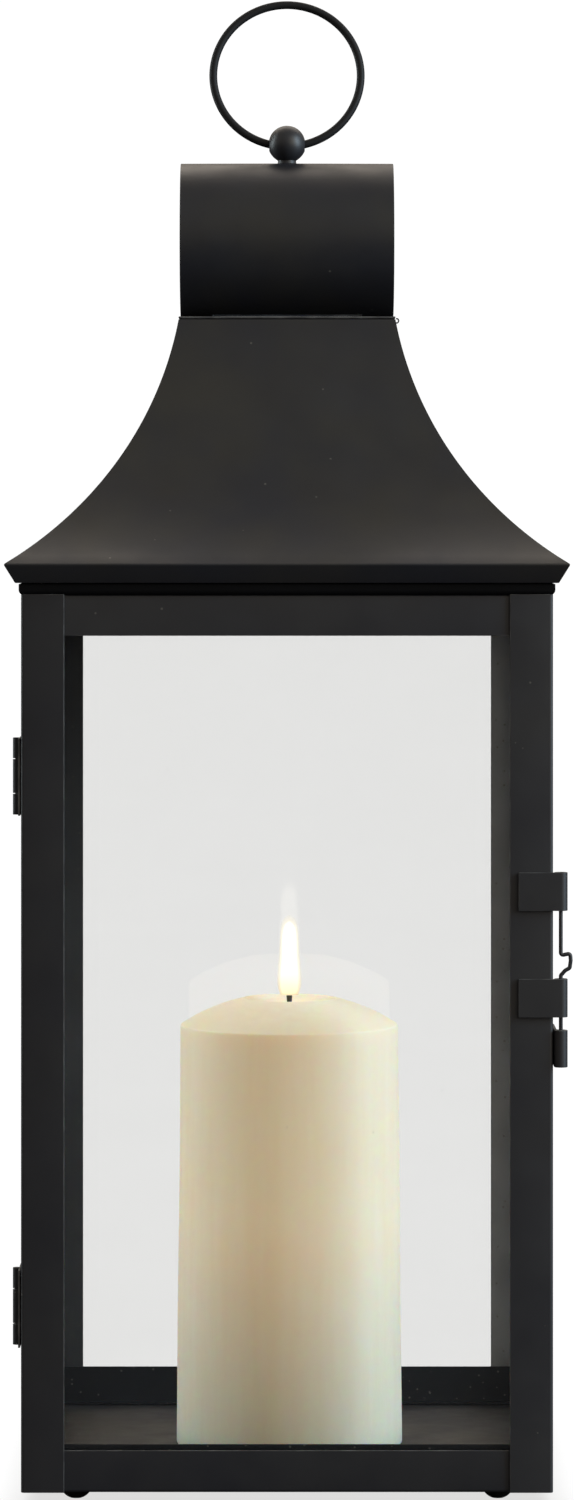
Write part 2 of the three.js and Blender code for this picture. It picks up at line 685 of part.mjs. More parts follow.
const POOL_FLOOR = CANDLE_HEIGHT - POOL_DEPTH;
const WICK_RADIUS = WICK_DIAMETER / 2;
const WICK_TOP = POOL_FLOOR + WICK_RISE;
const CUP_RADIUS = CUP_DIAMETER / 2;
const CUP_TOP = CUP_RECESS + CUP_HEIGHT;
const SWITCH_PLACE = -(COVER_DIAMETER / 2 + COVER_CLEARANCE + CUP_RADIUS - CUP_WALL) / 2;

/** The wax: a thick shell with a domed shoulder, a shallow pool round the wick and a hollow for the cup. */
function makeWax() {
  const shoulder = CANDLE_HEIGHT - CANDLE_SHOULDER;
  const poolRadius = POOL_DIAMETER / 2;
  const topRadius = CANDLE_TOP_DIAMETER / 2;
  const rim = [poolRadius, CANDLE_HEIGHT];
  const dome = arcBetween(rim, [topRadius, shoulder], CANDLE_DOME_RADIUS, 9).reverse();
  const profile = [
    [CUP_RADIUS + GAP, 0],
    [CANDLE_DIAMETER / 2 - 1, 0],
    [CANDLE_DIAMETER / 2, 1],
    ...dome,
    [poolRadius / 2, POOL_FLOOR + POOL_DEPTH / 4],
    [WICK_RADIUS + GAP, POOL_FLOOR],
    [WICK_RADIUS + GAP, CUP_TOP + GAP],
    [CUP_RADIUS + GAP, CUP_TOP + GAP],
    [CUP_RADIUS + GAP, 0],
  ];
  return turned(profile, 64);
}

/** The battery cup, open below round the cover, with a slot for the switch in its bottom flange. */
function makeCup() {
  const opening = COVER_DIAMETER / 2 + COVER_CLEARANCE;
  const flange = CUP_RECESS + CUP_WALL;
  const profile = [
    [opening, CUP_RECESS],
    [CUP_RADIUS, CUP_RECESS],
    [CUP_RADIUS, CUP_TOP],
    [WICK_RADIUS + GAP, CUP_TOP],
    [WICK_RADIUS + GAP, CUP_TOP - CUP_WALL],
    [CUP_RADIUS - CUP_WALL, CUP_TOP - CUP_WALL],
    [CUP_RADIUS - CUP_WALL, flange],
    [opening, flange],
    [opening, CUP_RECESS],
  ];
  const x = SWITCH_SLOT_LENGTH / 2;
  const y = SWITCH_SLOT_WIDTH / 2;
  const slot = box([-x, SWITCH_PLACE - y, 0], [x, SWITCH_PLACE + y, flange + 1]);
  return cut(turned(profile, 48), slot);
}

function makeCover() {
  const disc = rod(COVER_DIAMETER / 2, CUP_RECESS, CUP_RECESS + CUP_WALL, 48);
  const x = COVER_GRIP_LENGTH / 2;
  const y = COVER_GRIP_WIDTH / 2;
  return cut(disc, box([-x, -y, 0], [x, y, CUP_RECESS + CUP_WALL / 2]));
}

/** A slide switch: a thumb piece in the cup's slot under a wider head inside the cup. */
function makeSwitch() {
  const neck = SWITCH_SLOT_WIDTH / 2 - GAP;
  const head = SWITCH_SLOT_WIDTH / 2 + SWITCH_FLANGE - GAP;
  const seat = CUP_RECESS + CUP_WALL + GAP;
  const section = [
    [-neck, GAP],
    [neck, GAP],
    [neck, seat],
    [head, seat],
    [head, seat + CUP_WALL],
    [-head, seat + CUP_WALL],
    [-head, seat],
    [-neck, seat],
  ];
  const from = -SWITCH_SLOT_LENGTH / 2 + GAP;
  return prism(section, 'x', from, from + SWITCH_LENGTH).translate(0, SWITCH_PLACE, 0);
}

/** One AA cell, standing, with its contact button up. */
function makeBattery() {
  const bottom = CUP_RECESS + CUP_WALL + 1;
  const radius = BATTERY_DIAMETER / 2;
  const button = [BUTTON_DIAMETER / 2, BUTTON_HEIGHT];
  const profile = [
    [0, bottom],
    [radius, bottom],
    [radius, bottom + BATTERY_LENGTH - button[1]],
    [button[0], bottom + BATTERY_LENGTH - button[1]],
    [button[0], bottom + BATTERY_LENGTH],
    [0, bottom + BATTERY_LENGTH],
  ];
  return turned(profile, 32);
}

/** The flame-shaped light tip, with a small recess below for the LED. */
function makeFlame() {
  const bottom = WICK_TOP + GAP;
  const radius = FLAME_DIAMETER / 2;
  const recess = LED_DIAMETER / 2 + GAP;
  const recessTop = bottom + LED_HEIGHT + 2 * GAP;
  const bulge = 0.2; // share of the height where the flame is widest
  const fullness = 0.3; // power of the cosine, less for a blunter tip
  const steps = 18;
  const outside = Array.from({ length: steps }, (_, i) => {
    const t = i / steps;
    const swell = Math.cos(((t - bulge) / (1 - bulge)) * (Math.PI / 2));
    return [radius * swell ** fullness, bottom + FLAME_HEIGHT * t];
  });
  const profile = [
    [0, recessTop],
    [recess, recessTop],
    [recess, bottom],
    ...outside,
    [0, bottom + FLAME_HEIGHT],
  ];
  return turned(profile, 24);
}

function makeCandle() {
  const group = new THREE.Group();
  add(group, 'candle_wax', makeWax(), ivoryWax);
  add(group, 'candle_battery_cup', makeCup(), whitePlastic);
  add(group, 'candle_battery_cover', makeCover(), whitePlastic);
  add(group, 'candle_switch', makeSwitch(), blackPlastic);
  for (const [side, sign] of [['left', -1], ['right', 1]]) {
    const cell = makeBattery().translate((sign * BATTERY_SPACING) / 2, 0, 0);
    add(group, `battery_${side}`, cell, batteryJacket);
  }
  const wick = rod(WICK_RADIUS, CUP_TOP - CUP_WALL, WICK_TOP, 16);
  add(group, 'candle_wick', wick, blackPlastic);
  const led = rod(LED_DIAMETER / 2, WICK_TOP + GAP, WICK_TOP + GAP + LED_HEIGHT, 16);
  add(group, 'candle_led', led, flameGlow);
  add(group, 'candle_flame', makeFlame(), flameGlow);
  return group;
}

// ---------------------------------------------------------------------------------------------------
// Assembly

function makeLantern() {
  const lantern = new THREE.Group();
  const body = new THREE.Group();
  addFloor(body);
  addFeet(body);
  addPosts(body);
  addFixedWindows(body);
  add(body, 'vent_plate', makeVentPlate(), blackPaint);
  addRoof(body);
  add(body, 'roof_cap', makeRoofCap(), blackPaint);
  add(body, 'chimney', makeChimney(), blackPaint);
  add(body, 'finial', makeFinial(), blackPaint);
  add(body, 'finial_nut', makeFinialNut(), platedSteel);
  addKeeper(body);

  const door = makeDoor();
  addLatchStraps(door);
  addHinge('hinge_lower', UNDERSIDE + HINGE_INSET, body, door);
  addHinge('hinge_upper', BODY_TOP - HINGE_INSET, body, door);
  add(door, 'latch_pin', makeLatchPin(), blackPaint);

  const handle = new THREE.Group();
  add(handle, 'ring_handle', makeRing(), blackPaint);
  handle.position.z = RING_PIVOT;

  const candle = makeCandle();
  candle.position.set(CANDLE_OFFSET, 0, FLOOR_TOP + GAP);

  lantern.add(body, door, handle, candle);
  return lantern;
}

export default makeLantern();
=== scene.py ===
"""Looks of a glazed candle lantern: black sheet steel, clear panes and a flameless pillar candle.

Lengths are in millimetres until a mesh is made, and metres from there on.
"""

from __future__ import annotations

import logging
import math
from dataclasses import dataclass, field
from enum import Enum

import bmesh
import bpy
import numpy as np
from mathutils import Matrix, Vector


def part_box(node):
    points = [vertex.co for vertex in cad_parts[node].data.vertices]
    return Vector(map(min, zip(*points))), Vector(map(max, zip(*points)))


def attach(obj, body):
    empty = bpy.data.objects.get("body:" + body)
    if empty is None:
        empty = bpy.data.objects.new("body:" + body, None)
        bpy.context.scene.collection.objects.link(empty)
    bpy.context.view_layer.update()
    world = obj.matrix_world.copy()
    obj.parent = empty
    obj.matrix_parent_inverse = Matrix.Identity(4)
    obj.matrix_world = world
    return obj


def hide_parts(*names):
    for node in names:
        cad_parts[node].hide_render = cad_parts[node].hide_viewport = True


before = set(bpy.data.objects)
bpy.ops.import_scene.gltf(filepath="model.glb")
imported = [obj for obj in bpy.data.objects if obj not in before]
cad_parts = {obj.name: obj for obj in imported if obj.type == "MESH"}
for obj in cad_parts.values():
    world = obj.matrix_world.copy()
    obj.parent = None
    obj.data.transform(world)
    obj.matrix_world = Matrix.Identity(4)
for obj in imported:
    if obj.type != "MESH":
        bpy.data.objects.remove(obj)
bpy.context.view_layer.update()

LOG = logging.getLogger("lantern")
MM = 0.001
SMOOTH_BELOW = math.radians(35)
SOFTENED_ABOVE = math.radians(40)
MERGE_DISTANCE = 1e-7  # metres
POINT_SIZE = 1e-4  # a row of points no larger than this is closed by merging it
SHEET = 0.7
POST_BEND = 1.1
FLUE_LENGTH = 50.0
FLUE_WIDTH = 18.0


# ---------------------------------------------------------------------------------------------------
# Shapes


def node_box(node: str, turn: float = 0.0) -> tuple[np.ndarray, np.ndarray]:
    """Gives a CAD node's box as it is seen after the lantern is turned about Z.

    Args:
        node: Name of the CAD node.
        turn: Angle in degrees that the box is turned back by.

    Returns:
        Lowest and highest corner, in millimetres.
    """
    corners = np.array([tuple(corner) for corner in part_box(node)]) / MM
    turned_back = rotated(corners, -turn)
    return turned_back.min(axis=0), turned_back.max(axis=0)


def rotated(points: np.ndarray, degrees: float) -> np.ndarray:
    """Turns points about Z: x cos - y sin, x sin + y cos.

    Args:
        points: Array whose last axis is x, y, z.
        degrees: Angle, anticlockwise from above.

    Returns:
        The turned points, in the same layout.
    """
    turn = math.radians(degrees)
    cosine, sine = math.cos(turn), math.sin(turn)
    matrix = np.array([[cosine, -sine, 0.0], [sine, cosine, 0.0], [0.0, 0.0, 1.0]])
    return points @ matrix.T


def arc(centre: tuple[float, float], radius: float, start: float, end: float, steps: int) -> np.ndarray:
    """Points of a circular arc: centre + radius (cos, sin) at evenly spaced angles.

    Args:
        centre: Centre of the circle.
        radius: Its radius.
        start: First angle in degrees.
        end: Last angle in degrees.
        steps: Number of intervals.

    Returns:
        Array of steps + 1 points.
    """
    angle = np.radians(np.linspace(start, end, steps + 1))
    return np.array(centre) + radius * np.stack([np.cos(angle), np.sin(angle)], axis=1)


def arc_between(start: np.ndarray, end: np.ndarray, radius: float, steps: int) -> np.ndarray:
    """Arc between two points that sags to the left of the way from one to the other.

    The centre lies to the right of the chord's middle, at the root of radius squared less half the
    chord squared.

    Args:
        start: First point.
        end: Last point.
        radius: Radius of the arc.
        steps: Number of intervals.

    Returns:
        Array of steps + 1 points.
    """
    chord = end - start
    length = np.hypot(*chord)
    right = np.array([chord[1], -chord[0]]) / length
    centre = (start + end) / 2 + right * math.sqrt(radius**2 - (length / 2) ** 2)
    first, last = (np.degrees(np.arctan2(*(point - centre)[::-1])) for point in (start, end))
    return arc(tuple(centre), radius, first, last, steps)


def rounded(points: list[tuple[float, float]] | np.ndarray, radius: float, steps: int = 5) -> np.ndarray:
    """Polyline with each inner corner turned into an arc that touches both of its sides.

    The arc starts radius x tan(half the turn) before the corner, and its centre is radius / cos(half
    the turn) from the corner, along the difference of the two headings.

    Args:
        points: Corners of the polyline.
        radius: Radius of every bend.
        steps: Intervals in each bend.

    Returns:
        Points of the rounded polyline.
    """
    corners = np.asarray(points, float)
    heading = np.diff(corners, axis=0)
    heading /= np.linalg.norm(heading, axis=1, keepdims=True)
    before, after = heading[:-1], heading[1:]
    turn = np.arctan2(
        before[:, 0] * after[:, 1] - before[:, 1] * after[:, 0], (before * after).sum(axis=1)
    )
    across = (after - before) / np.linalg.norm(after - before, axis=1, keepdims=True)
    centre = corners[1:-1] + across * (radius / np.cos(turn / 2))[:, None]
    angle = turn[:, None] * (np.linspace(0.0, 1.0, steps + 1) - 0.5)[None, :]
    cosine, sine = np.cos(angle), np.sin(angle)
    spoke = -across[:, None, :]
    swung = np.stack(
        [spoke[..., 0] * cosine - spoke[..., 1] * sine, spoke[..., 0] * sine + spoke[..., 1] * cosine],
        axis=-1,
    )
    bends = centre[:, None, :] + radius * swung
    return np.vstack([corners[:1], bends.reshape(-1, 2), corners[-1:]])


def carried(section: np.ndarray, along: str, places: np.ndarray) -> np.ndarray:
    """Carries a flat section along an axis.

    Args:
        section: Points (x, y) for a path along z, or (y, z) for one along x.
        along: "x" or "z".
        places: Places of the stations on that axis.

    Returns:
        Grid of points: station, point of the section, x y z.
    """
    grid = np.empty((len(places), len(section), 3))
    order = {"z": (0, 1, 2), "x": (1, 2, 0)}[along]
    grid[..., order[0]] = section[None, :, 0]
    grid[..., order[1]] = section[None, :, 1]
    grid[..., order[2]] = places[:, None]
    return grid


def turned(profile: np.ndarray, sides: int, centre: tuple[float, float] = (0.0, 0.0)) -> np.ndarray:
    """Turns a profile of (radius, z) points about an upright axis.

    Args:
        profile: Points of the profile.
        sides: Stations round the axis.
        centre: x and y of the axis.

    Returns:
        Grid of points: point of the profile, station round the axis, x y z.
    """
    angle = np.linspace(0.0, 2 * np.pi, sides, endpoint=False)
    radius, height = profile[:, 0][:, None], profile[:, 1][:, None]
    return np.stack(
        [
            centre[0] + radius * np.cos(angle),
            centre[1] + radius * np.sin(angle),
            height + 0 * angle,
        ],
        axis=-1,
    )


def tube(path: np.ndarray, radius: float, sides: int, side: np.ndarray) -> np.ndarray:
    """Round wire along a flat path: each station is a circle in the plane across the heading.

    Args:
        path: Points of the middle line.
        radius: Radius of the wire, rounded off to nothing over the first and last stations.
        sides: Points round the wire.
        side: Unit vector across the plane of the path.

    Returns:
        Grid of points: station, point round the wire, x y z.
    """
    heading = np.gradient(path, axis=0)
    heading /= np.linalg.norm(heading, axis=1, keepdims=True)
    across = np.cross(heading, side)
    angle = np.linspace(0.0, 2 * np.pi, sides, endpoint=False)[None, :, None]
    circle = across[:, None, :] * np.cos(angle) + side[None, None, :] * np.sin(angle)
    return path[:, None, :] + radius * circle


def domed_ends(path: np.ndarray, radius: float, steps: int = 4) -> tuple[np.ndarray, np.ndarray]:
    """Adds close stations at both ends of a straight-ended path, so that a wire ends in a dome.

    Args:
        path: Points of the middle line.
        radius: Radius of the wire.
        steps: Stations in each dome.

    Returns:
        The longer path, and the share of the radius at each of its points.
    """
    angle = np.linspace(0.0, np.pi / 2, steps, endpoint=False)[:, None]
    inset = radius * (1 - np.sin(angle + 1e-3))
    first = (path[1] - path[0]) / np.linalg.norm(path[1] - path[0])
    last = (path[-1] - path[-2]) / np.linalg.norm(path[-1] - path[-2])
    start = path[0] + inset * first
    end = path[-1] - inset[::-1] * last
    inner = path[1:-1]
    share = np.cos(angle[:, 0])
    shares = np.concatenate([share[::-1], np.ones(len(inner)), share])
    return np.vstack([start[::-1], inner, end[::-1]]), shares


def grid_faces(
    rows: int,
    columns: int,
    wrap_rows: bool = False,
    wrap_columns: bool = False,
    keep: np.ndarray | None = None,
) -> np.ndarray:
    """Four-sided faces of a grid: each cell joins its corner, the next column, both, the next row.

    Args:
        rows: Number of rows of points.
        columns: Number of points in a row.
        wrap_rows: True if the last row is joined to the first.
        wrap_columns: True if the last column is joined to the first.
        keep: Which cells are kept, as booleans by row and column, or None for all.

    Returns:
        Array of faces, four point numbers each.
    """
    cells = (rows if wrap_rows else rows - 1, columns if wrap_columns else columns - 1)
    i, j = np.meshgrid(np.arange(cells[0]), np.arange(cells[1]), indexing="ij")
    if keep is not None:
        i, j = i[keep], j[keep]
    below, beside = (i + 1) % rows, (j + 1) % columns
    faces = [i * columns + j, i * columns + beside, below * columns + beside, below * columns + j]
    return np.stack(faces, axis=-1).reshape(-1, 4)


class Side(Enum):
    """Side of the section's way on which a sheet's thickness lies."""

    LEFT = -1.0
    RIGHT = 1.0


@dataclass(frozen=True)
class Place:
    """Where a piece belongs: its body, its material slot and the CAD nodes it stands for."""

    body: str
    slot: str
    nodes: tuple[str, ...]

    def claim(self, piece: bpy.types.Object) -> None:
        """Ties the piece to its body and hides the CAD nodes that it stands for.

        Args:
            piece: The finished object.
        """
        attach(piece, self.body)
        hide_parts(*self.nodes)
        LOG.info("%s: %d faces, rides on %s", piece.name, len(piece.data.polygons), self.body)


def make_mesh(
    name: str, points: np.ndarray, faces: list[list[int]], finishes: list[bpy.types.Material]
) -> bpy.types.Object:
    """Makes an object from points in millimetres.

    Args:
        name: Name of the piece.
        points: Array whose last axis is x, y, z.
        faces: Point numbers of each face.
        finishes: Material of the faces, then that of worked edges.

    Returns:
        The new object, shaded smooth below 35 degrees.
    """
    mesh = bpy.data.meshes.new(name)
    mesh.from_pydata((points.reshape(-1, 3) * MM).tolist(), [], faces)
    for finish in finishes:
        mesh.materials.append(finish)
    mesh.shade_smooth()
    mesh.set_sharp_from_angle(angle=SMOOTH_BELOW)
    piece = bpy.data.objects.new(name, mesh)
    bpy.context.scene.collection.objects.link(piece)
    return piece


def soften_edges(piece: bpy.types.Object, width: float, worked: bool = True) -> None:
    """Rounds every edge sharper than 40 degrees.

    Args:
        piece: Object to change.
        width: Width of the rounding in millimetres.
        worked: True if the rounding takes the finish of worked edges.
    """
    bevel = piece.modifiers.new("worked_edges", "BEVEL")
    bevel.width = width * MM
    bevel.segments = 2
    bevel.limit_method = "ANGLE"
    bevel.angle_limit = SOFTENED_ABOVE
    bevel.harden_normals = True
    bevel.material = 1 if worked else -1


def give_wall(piece: bpy.types.Object, thickness: float, side: Side, even: bool = True) -> None:
    """Gives a sheet its thickness, with worked edges all round.

    Args:
        piece: Sheet without thickness.
        thickness: Thickness in millimetres.
        side: Side of the section on which the thickness lies.
        even: True if it is evened out where the sheet bends sharply.
    """
    wall = piece.modifiers.new("sheet", "SOLIDIFY")
    wall.thickness = thickness * MM
    wall.offset = side.value
    wall.use_even_offset = even
    wall.material_offset_rim = 1


def merge_points(piece: bpy.types.Object, closed: bool) -> None:
    """Merges points that lie together.

    Args:
        piece: Object to change.
        closed: True if it is a closed solid, whose faces are then turned outwards.
    """
    shell = bmesh.new()
    shell.from_mesh(piece.data)
    bmesh.ops.remove_doubles(shell, verts=shell.verts, dist=MERGE_DISTANCE)
    if closed:
        bmesh.ops.recalc_face_normals(shell, faces=shell.faces)
    shell.to_mesh(piece.data)
    shell.free()


def sheet_piece(
    name: str,
    grid: np.ndarray,
    place: Place,
    finishes: list[bpy.types.Material],
    side: Side = Side.LEFT,
    thickness: float = SHEET,
    keep: np.ndarray | None = None,
    edge: float = 0.2,
) -> bpy.types.Object:
    """Makes a bent sheet from the grid of one of its faces.

    Args:
        name: Name of the piece.
        grid: Points of the face: station, point of the section, x y z.
        place: Body, slot and nodes.
        finishes: Materials of the sheet and of its edges.
        side: Side of the section on which the thickness lies.
        thickness: Thickness in millimetres.
        keep: Which cells of the grid are kept.
        edge: Width of the rounding of its edges in millimetres.

    Returns:
        The new object.
    """
    faces = grid_faces(*grid.shape[:2], keep=keep)
    piece = make_mesh(name, grid, faces.tolist(), finishes)
    give_wall(piece, thickness, side)
    soften_edges(piece, edge)
    place.claim(piece)
    return piece


def solid_piece(
    name: str,
    grid: np.ndarray,
    place: Place,
    finishes: list[bpy.types.Material],
    wrap_rows: bool = False,
    edge: float = 0.0,
) -> bpy.types.Object:
    """Makes a closed solid from a grid whose columns run round it.

    Rows that shrink to a point are closed by merging it, and others by a flat cap.

    Args:
        name: Name of the piece.
        grid: Points: row, column, x y z.
        place: Body, slot and nodes.
        finishes: Materials of the faces and of worked edges.
        wrap_rows: True if the last row meets the first.
        edge: Width of the rounding of sharp edges in millimetres, or 0 for none.

    Returns:
        The new object.
    """
    rows, columns = grid.shape[:2]
    faces = grid_faces(rows, columns, wrap_rows, True).tolist()
    if not wrap_rows:
        last = (rows - 1) * columns
        faces.extend(
            list(range(first, first + columns))
            for first in (0, last)
            if np.ptp(grid.reshape(-1, 3)[first : first + columns], axis=0).max() > POINT_SIZE
        )
    piece = make_mesh(name, grid, faces, finishes)
    merge_points(piece, closed=True)
    piece.data.set_sharp_from_angle(angle=SMOOTH_BELOW)
    if edge:
        soften_edges(piece, edge, worked=len(finishes) > 1)
    place.claim(piece)
    return piece


def box_grid(low: np.ndarray, high: np.ndarray) -> np.ndarray:
    """Grid of a block: its bottom and top outlines.

    Args:
        low: Lowest corner.
        high: Highest corner.

    Returns:
        Two rows of four points.
    """
    x0, y0, z0 = low
    x1, y1, z1 = high
    outline = np.array([[x0, y0], [x1, y0], [x1, y1], [x0, y1]])
    return carried(outline, "z", np.array([z0, z1]))


# ---------------------------------------------------------------------------------------------------
# Finishes


class Nodes:
    """A material's node tree, with short calls that add and join nodes."""

    def __init__(self, name: str) -> None:
        """Makes an empty material with an output.

        Args:
            name: Name of the material.
        """
        self.material = bpy.data.materials.new(name)
        self.material.use_nodes = True
        self.tree = self.material.node_tree
        self.tree.nodes.clear()
        self.output = self.tree.nodes.new("ShaderNodeOutputMaterial")
        self.place = self.add("ShaderNodeTexCoord").outputs["Object"]

    def add(self, kind: str, inputs: dict | None = None, **settings: object) -> bpy.types.Node:
        """Adds a node.

        Args:
            kind: Blender's name of the node type.
            inputs: Values or sockets by input name or number.
            settings: Properties of the node.

        Returns:
            The node.
        """
        node = self.tree.nodes.new(kind)
        for name, value in settings.items():
            setattr(node, name, value)
        for key, value in (inputs or {}).items():
            if isinstance(value, bpy.types.NodeSocket):
                self.tree.links.new(value, node.inputs[key])
            else:
                node.inputs[key].default_value = value
        return node

    def noise(
        self, scale: float, detail: float = 3.0, where: bpy.types.NodeSocket | None = None
    ) -> bpy.types.NodeSocket:
        """Adds a cloud pattern, scale features to the metre.

        Args:
            scale: Features to the metre.
            detail: Number of finer layers.
            where: Coordinates, or None for the piece's own.

        Returns:
            Socket with values round a half.
        """
        inputs = {"Vector": where or self.place, "Scale": scale, "Detail": detail}
        return self.add("ShaderNodeTexNoise", inputs).outputs["Fac"]

    def ranged(
        self, value: bpy.types.NodeSocket, low: float, high: float, to_low: float, to_high: float
    ) -> bpy.types.NodeSocket:
        """Maps a value from one range to another, held at the ends.

        Args:
            value: What is mapped.
            low: Start of its range.
            high: End of its range.
            to_low: Result at the start.
            to_high: Result at the end.

        Returns:
            The mapped socket.
        """
        inputs = {"Value": value, 1: low, 2: high, 3: to_low, 4: to_high}
        return self.add("ShaderNodeMapRange", inputs).outputs[0]

    def math(
        self, operation: str, first: bpy.types.NodeSocket, second: bpy.types.NodeSocket | float
    ) -> bpy.types.NodeSocket:
        """Joins two values by arithmetic.

        Args:
            operation: Blender's name of the operation.
            first: First value.
            second: Second value.

        Returns:
            The result.
        """
        return self.add("ShaderNodeMath", {0: first, 1: second}, operation=operation).outputs[0]

    def blend(
        self,
        share: bpy.types.NodeSocket,
        first: tuple | bpy.types.NodeSocket,
        second: tuple | bpy.types.NodeSocket,
    ) -> bpy.types.NodeSocket:
        """Mixes two colours.

        Args:
            share: Share of the second colour.
            first: First colour.
            second: Second colour.

        Returns:
            The mixed colour.
        """
        inputs = {0: share, 6: solid(first), 7: solid(second)}
        return self.add("ShaderNodeMix", inputs, data_type="RGBA").outputs[2]

    def specks(self, scale: float, size: float, share: float) -> bpy.types.NodeSocket:
        """Scatters small round specks: 1 on a speck and 0 between them.

        Args:
            scale: Cells to the metre.
            size: Radius of a speck as a share of its cell.
            share: Share of the cells that have one.

        Returns:
            The speck pattern.
        """
        cells = self.add("ShaderNodeTexVoronoi", {"Vector": self.place, "Scale": scale})
        near = self.math("LESS_THAN", cells.outputs["Distance"], size)
        pick = self.add("ShaderNodeSeparateColor", {0: cells.outputs["Color"]}).outputs[0]
        return self.math("MULTIPLY", near, self.math("LESS_THAN", pick, share))

    def bump(
        self, height: bpy.types.NodeSocket, depth: float, under: bpy.types.NodeSocket | None = None
    ) -> bpy.types.NodeSocket:
        """Adds relief.

        Args:
            height: Pattern of the relief.
            depth: Depth in millimetres.
            under: Normal that this relief lies on, or None.

        Returns:
            The changed normal.
        """
        inputs = {"Height": height, "Distance": depth * MM}
        if under is not None:
            inputs["Normal"] = under
        return self.add("ShaderNodeBump", inputs).outputs["Normal"]

    def done(self, shader: bpy.types.Node | bpy.types.NodeSocket) -> bpy.types.Material:
        """Joins the shader to the output.

        Args:
            shader: Last shader, or its socket.

        Returns:
            The material.
        """
        socket = shader.outputs[0] if isinstance(shader, bpy.types.Node) else shader
        self.tree.links.new(socket, self.output.inputs["Surface"])
        return self.material


def solid(colour: tuple | bpy.types.NodeSocket) -> tuple | bpy.types.NodeSocket:
    """Adds full cover to a colour of three numbers, and leaves a socket as it is."""
    return (*colour, 1.0) if isinstance(colour, tuple) and len(colour) == 3 else colour


@dataclass(frozen=True)
class Paint:
    """Satin black paint on sheet steel, faintly clouded, with orange peel and a little dust."""

    name: str
    cool: tuple[float, float, float] = (0.0125, 0.013, 0.0175)
    warm: tuple[float, float, float] = (0.0175, 0.0175, 0.02)
    dust: tuple[float, float, float] = (0.11, 0.105, 0.095)
    dust_and_light: tuple[float, float, float] = (0.2, 0.205, 0.22)
    dust_share: float = 0.015
    film: float = 0.0
    inside: float = 0.0
    cage_half: float = 0.0856
    gloss: tuple[float, float] = (0.42, 0.54)
    peel: float = 0.012
    waves: float = 0.25
    shine: float = 0.42

    def make(self) -> bpy.types.Material:
        """Builds the material.

        Returns:
            The paint.
        """
        nodes = Nodes(self.name)
        cloud = nodes.noise(26.0, 4.0)
        base = nodes.blend(nodes.ranged(cloud, 0.35, 0.68, 0.0, 1.0), self.cool, self.warm)
        if self.film:
            streaks = nodes.ranged(nodes.noise(60.0, 6.0), 0.4, 0.75, 0.0, self.film)
            base = nodes.blend(streaks, base, self.dust)
        # Inside the cage a lighter film is laid on: partly dust, and partly painted light where a lamp
        # lights the inner faces.
        if self.inside:
            spot = nodes.add("ShaderNodeVectorMath", {0: nodes.place}, operation="ABSOLUTE").outputs[0]
            spot = nodes.add("ShaderNodeSeparateXYZ", {0: spot})
            within = nodes.math("MAXIMUM", spot.outputs[0], spot.outputs[1])
            within = nodes.math("LESS_THAN", within, self.cage_half)
            dust_and_light = nodes.ranged(nodes.noise(45.0, 5.0), 0.3, 0.6, self.inside * 0.75, self.inside)
            base = nodes.blend(nodes.math("MULTIPLY", dust_and_light, within), base, self.dust_and_light)
        speck = nodes.math("MULTIPLY", nodes.specks(420.0, 0.16, self.dust_share), 0.6)
        base = nodes.blend(speck, base, self.dust)
        rough = nodes.ranged(nodes.noise(75.0, 5.0), 0.3, 0.7, *self.gloss)
        relief = nodes.bump(nodes.noise(9.0, 1.5), self.waves)
        relief = nodes.bump(nodes.noise(620.0, 2.0), self.peel, relief)
        shader = nodes.add(
            "ShaderNodeBsdfPrincipled",
            {"Base Color": base, "Roughness": rough, "Normal": relief, "Specular IOR Level": self.shine},
        )
        return nodes.done(shader)


@dataclass(frozen=True)
class WornAndLitEdge:
    """Paint rubbed thin along a cut or bent edge, made lighter also as a painted highlight where an edge
    catches the light.
    """

    name: str = "rubbed_and_lit_edge"
    tone: tuple[float, float, float] = (0.035, 0.035, 0.038)
    rubbed_and_highlit: tuple[float, float, float] = (0.1, 0.1, 0.1)

    def make(self) -> bpy.types.Material:
        """Builds the material.

        Returns:
            The edge finish.
        """
        nodes = Nodes(self.name)
        # Lighter patches along edges: rubbed paint, and painted highlight of edges catching the light.
        wear_and_highlight = nodes.ranged(nodes.noise(140.0, 5.0), 0.42, 0.7, 0.0, 1.0)
        base = nodes.blend(wear_and_highlight, self.tone, self.rubbed_and_highlit)
        rough = nodes.ranged(nodes.noise(300.0), 0.3, 0.7, 0.42, 0.55)
        shader = nodes.add(
            "ShaderNodeBsdfPrincipled",
            {"Base Color": base, "Roughness": rough, "Specular IOR Level": 0.35},
        )
        return nodes.done(shader)


@dataclass(frozen=True)
class WindowGlass:
    """Thin clear glass with a very faint film, which lets lamps through."""

    name: str = "window_glass"
    tint: tuple[float, float, float] = (0.961, 0.961, 0.958)
    film_colour: tuple[float, float, float] = (0.5, 0.5, 0.49)
    film: float = 0.006
    mirror: float = 0.034

    def make(self) -> bpy.types.Material:
        """Builds the material.

        The mirror share is that of a straight look, rising with the fifth power of the slant.

        Returns:
            The glass.
        """
        nodes = Nodes(self.name)
        clear = nodes.add("ShaderNodeBsdfTransparent", {"Color": solid(self.tint)})
        gloss = nodes.add("ShaderNodeBsdfGlossy", {"Color": solid((0.9, 0.9, 0.9)), "Roughness": 0.02})
        slant = nodes.add("ShaderNodeLayerWeight").outputs["Facing"]
        mirror = nodes.ranged(nodes.math("POWER", slant, 5.0), 0.0, 1.0, self.mirror, 1.0)
        pane = nodes.add("ShaderNodeMixShader", {0: mirror, 1: clear.outputs[0], 2: gloss.outputs[0]})
        smear = nodes.ranged(nodes.noise(18.0, 6.0), 0.45, 0.8, 0.0, self.film)
        dirt = nodes.math("ADD", smear, nodes.math("MULTIPLY", nodes.specks(180.0, 0.07, 0.06), 0.08))
        haze = nodes.add("ShaderNodeBsdfDiffuse", {"Color": solid(self.film_colour)})
        return nodes.done(
            nodes.add("ShaderNodeMixShader", {0: dirt, 1: pane.outputs[0], 2: haze.outputs[0]})
        )


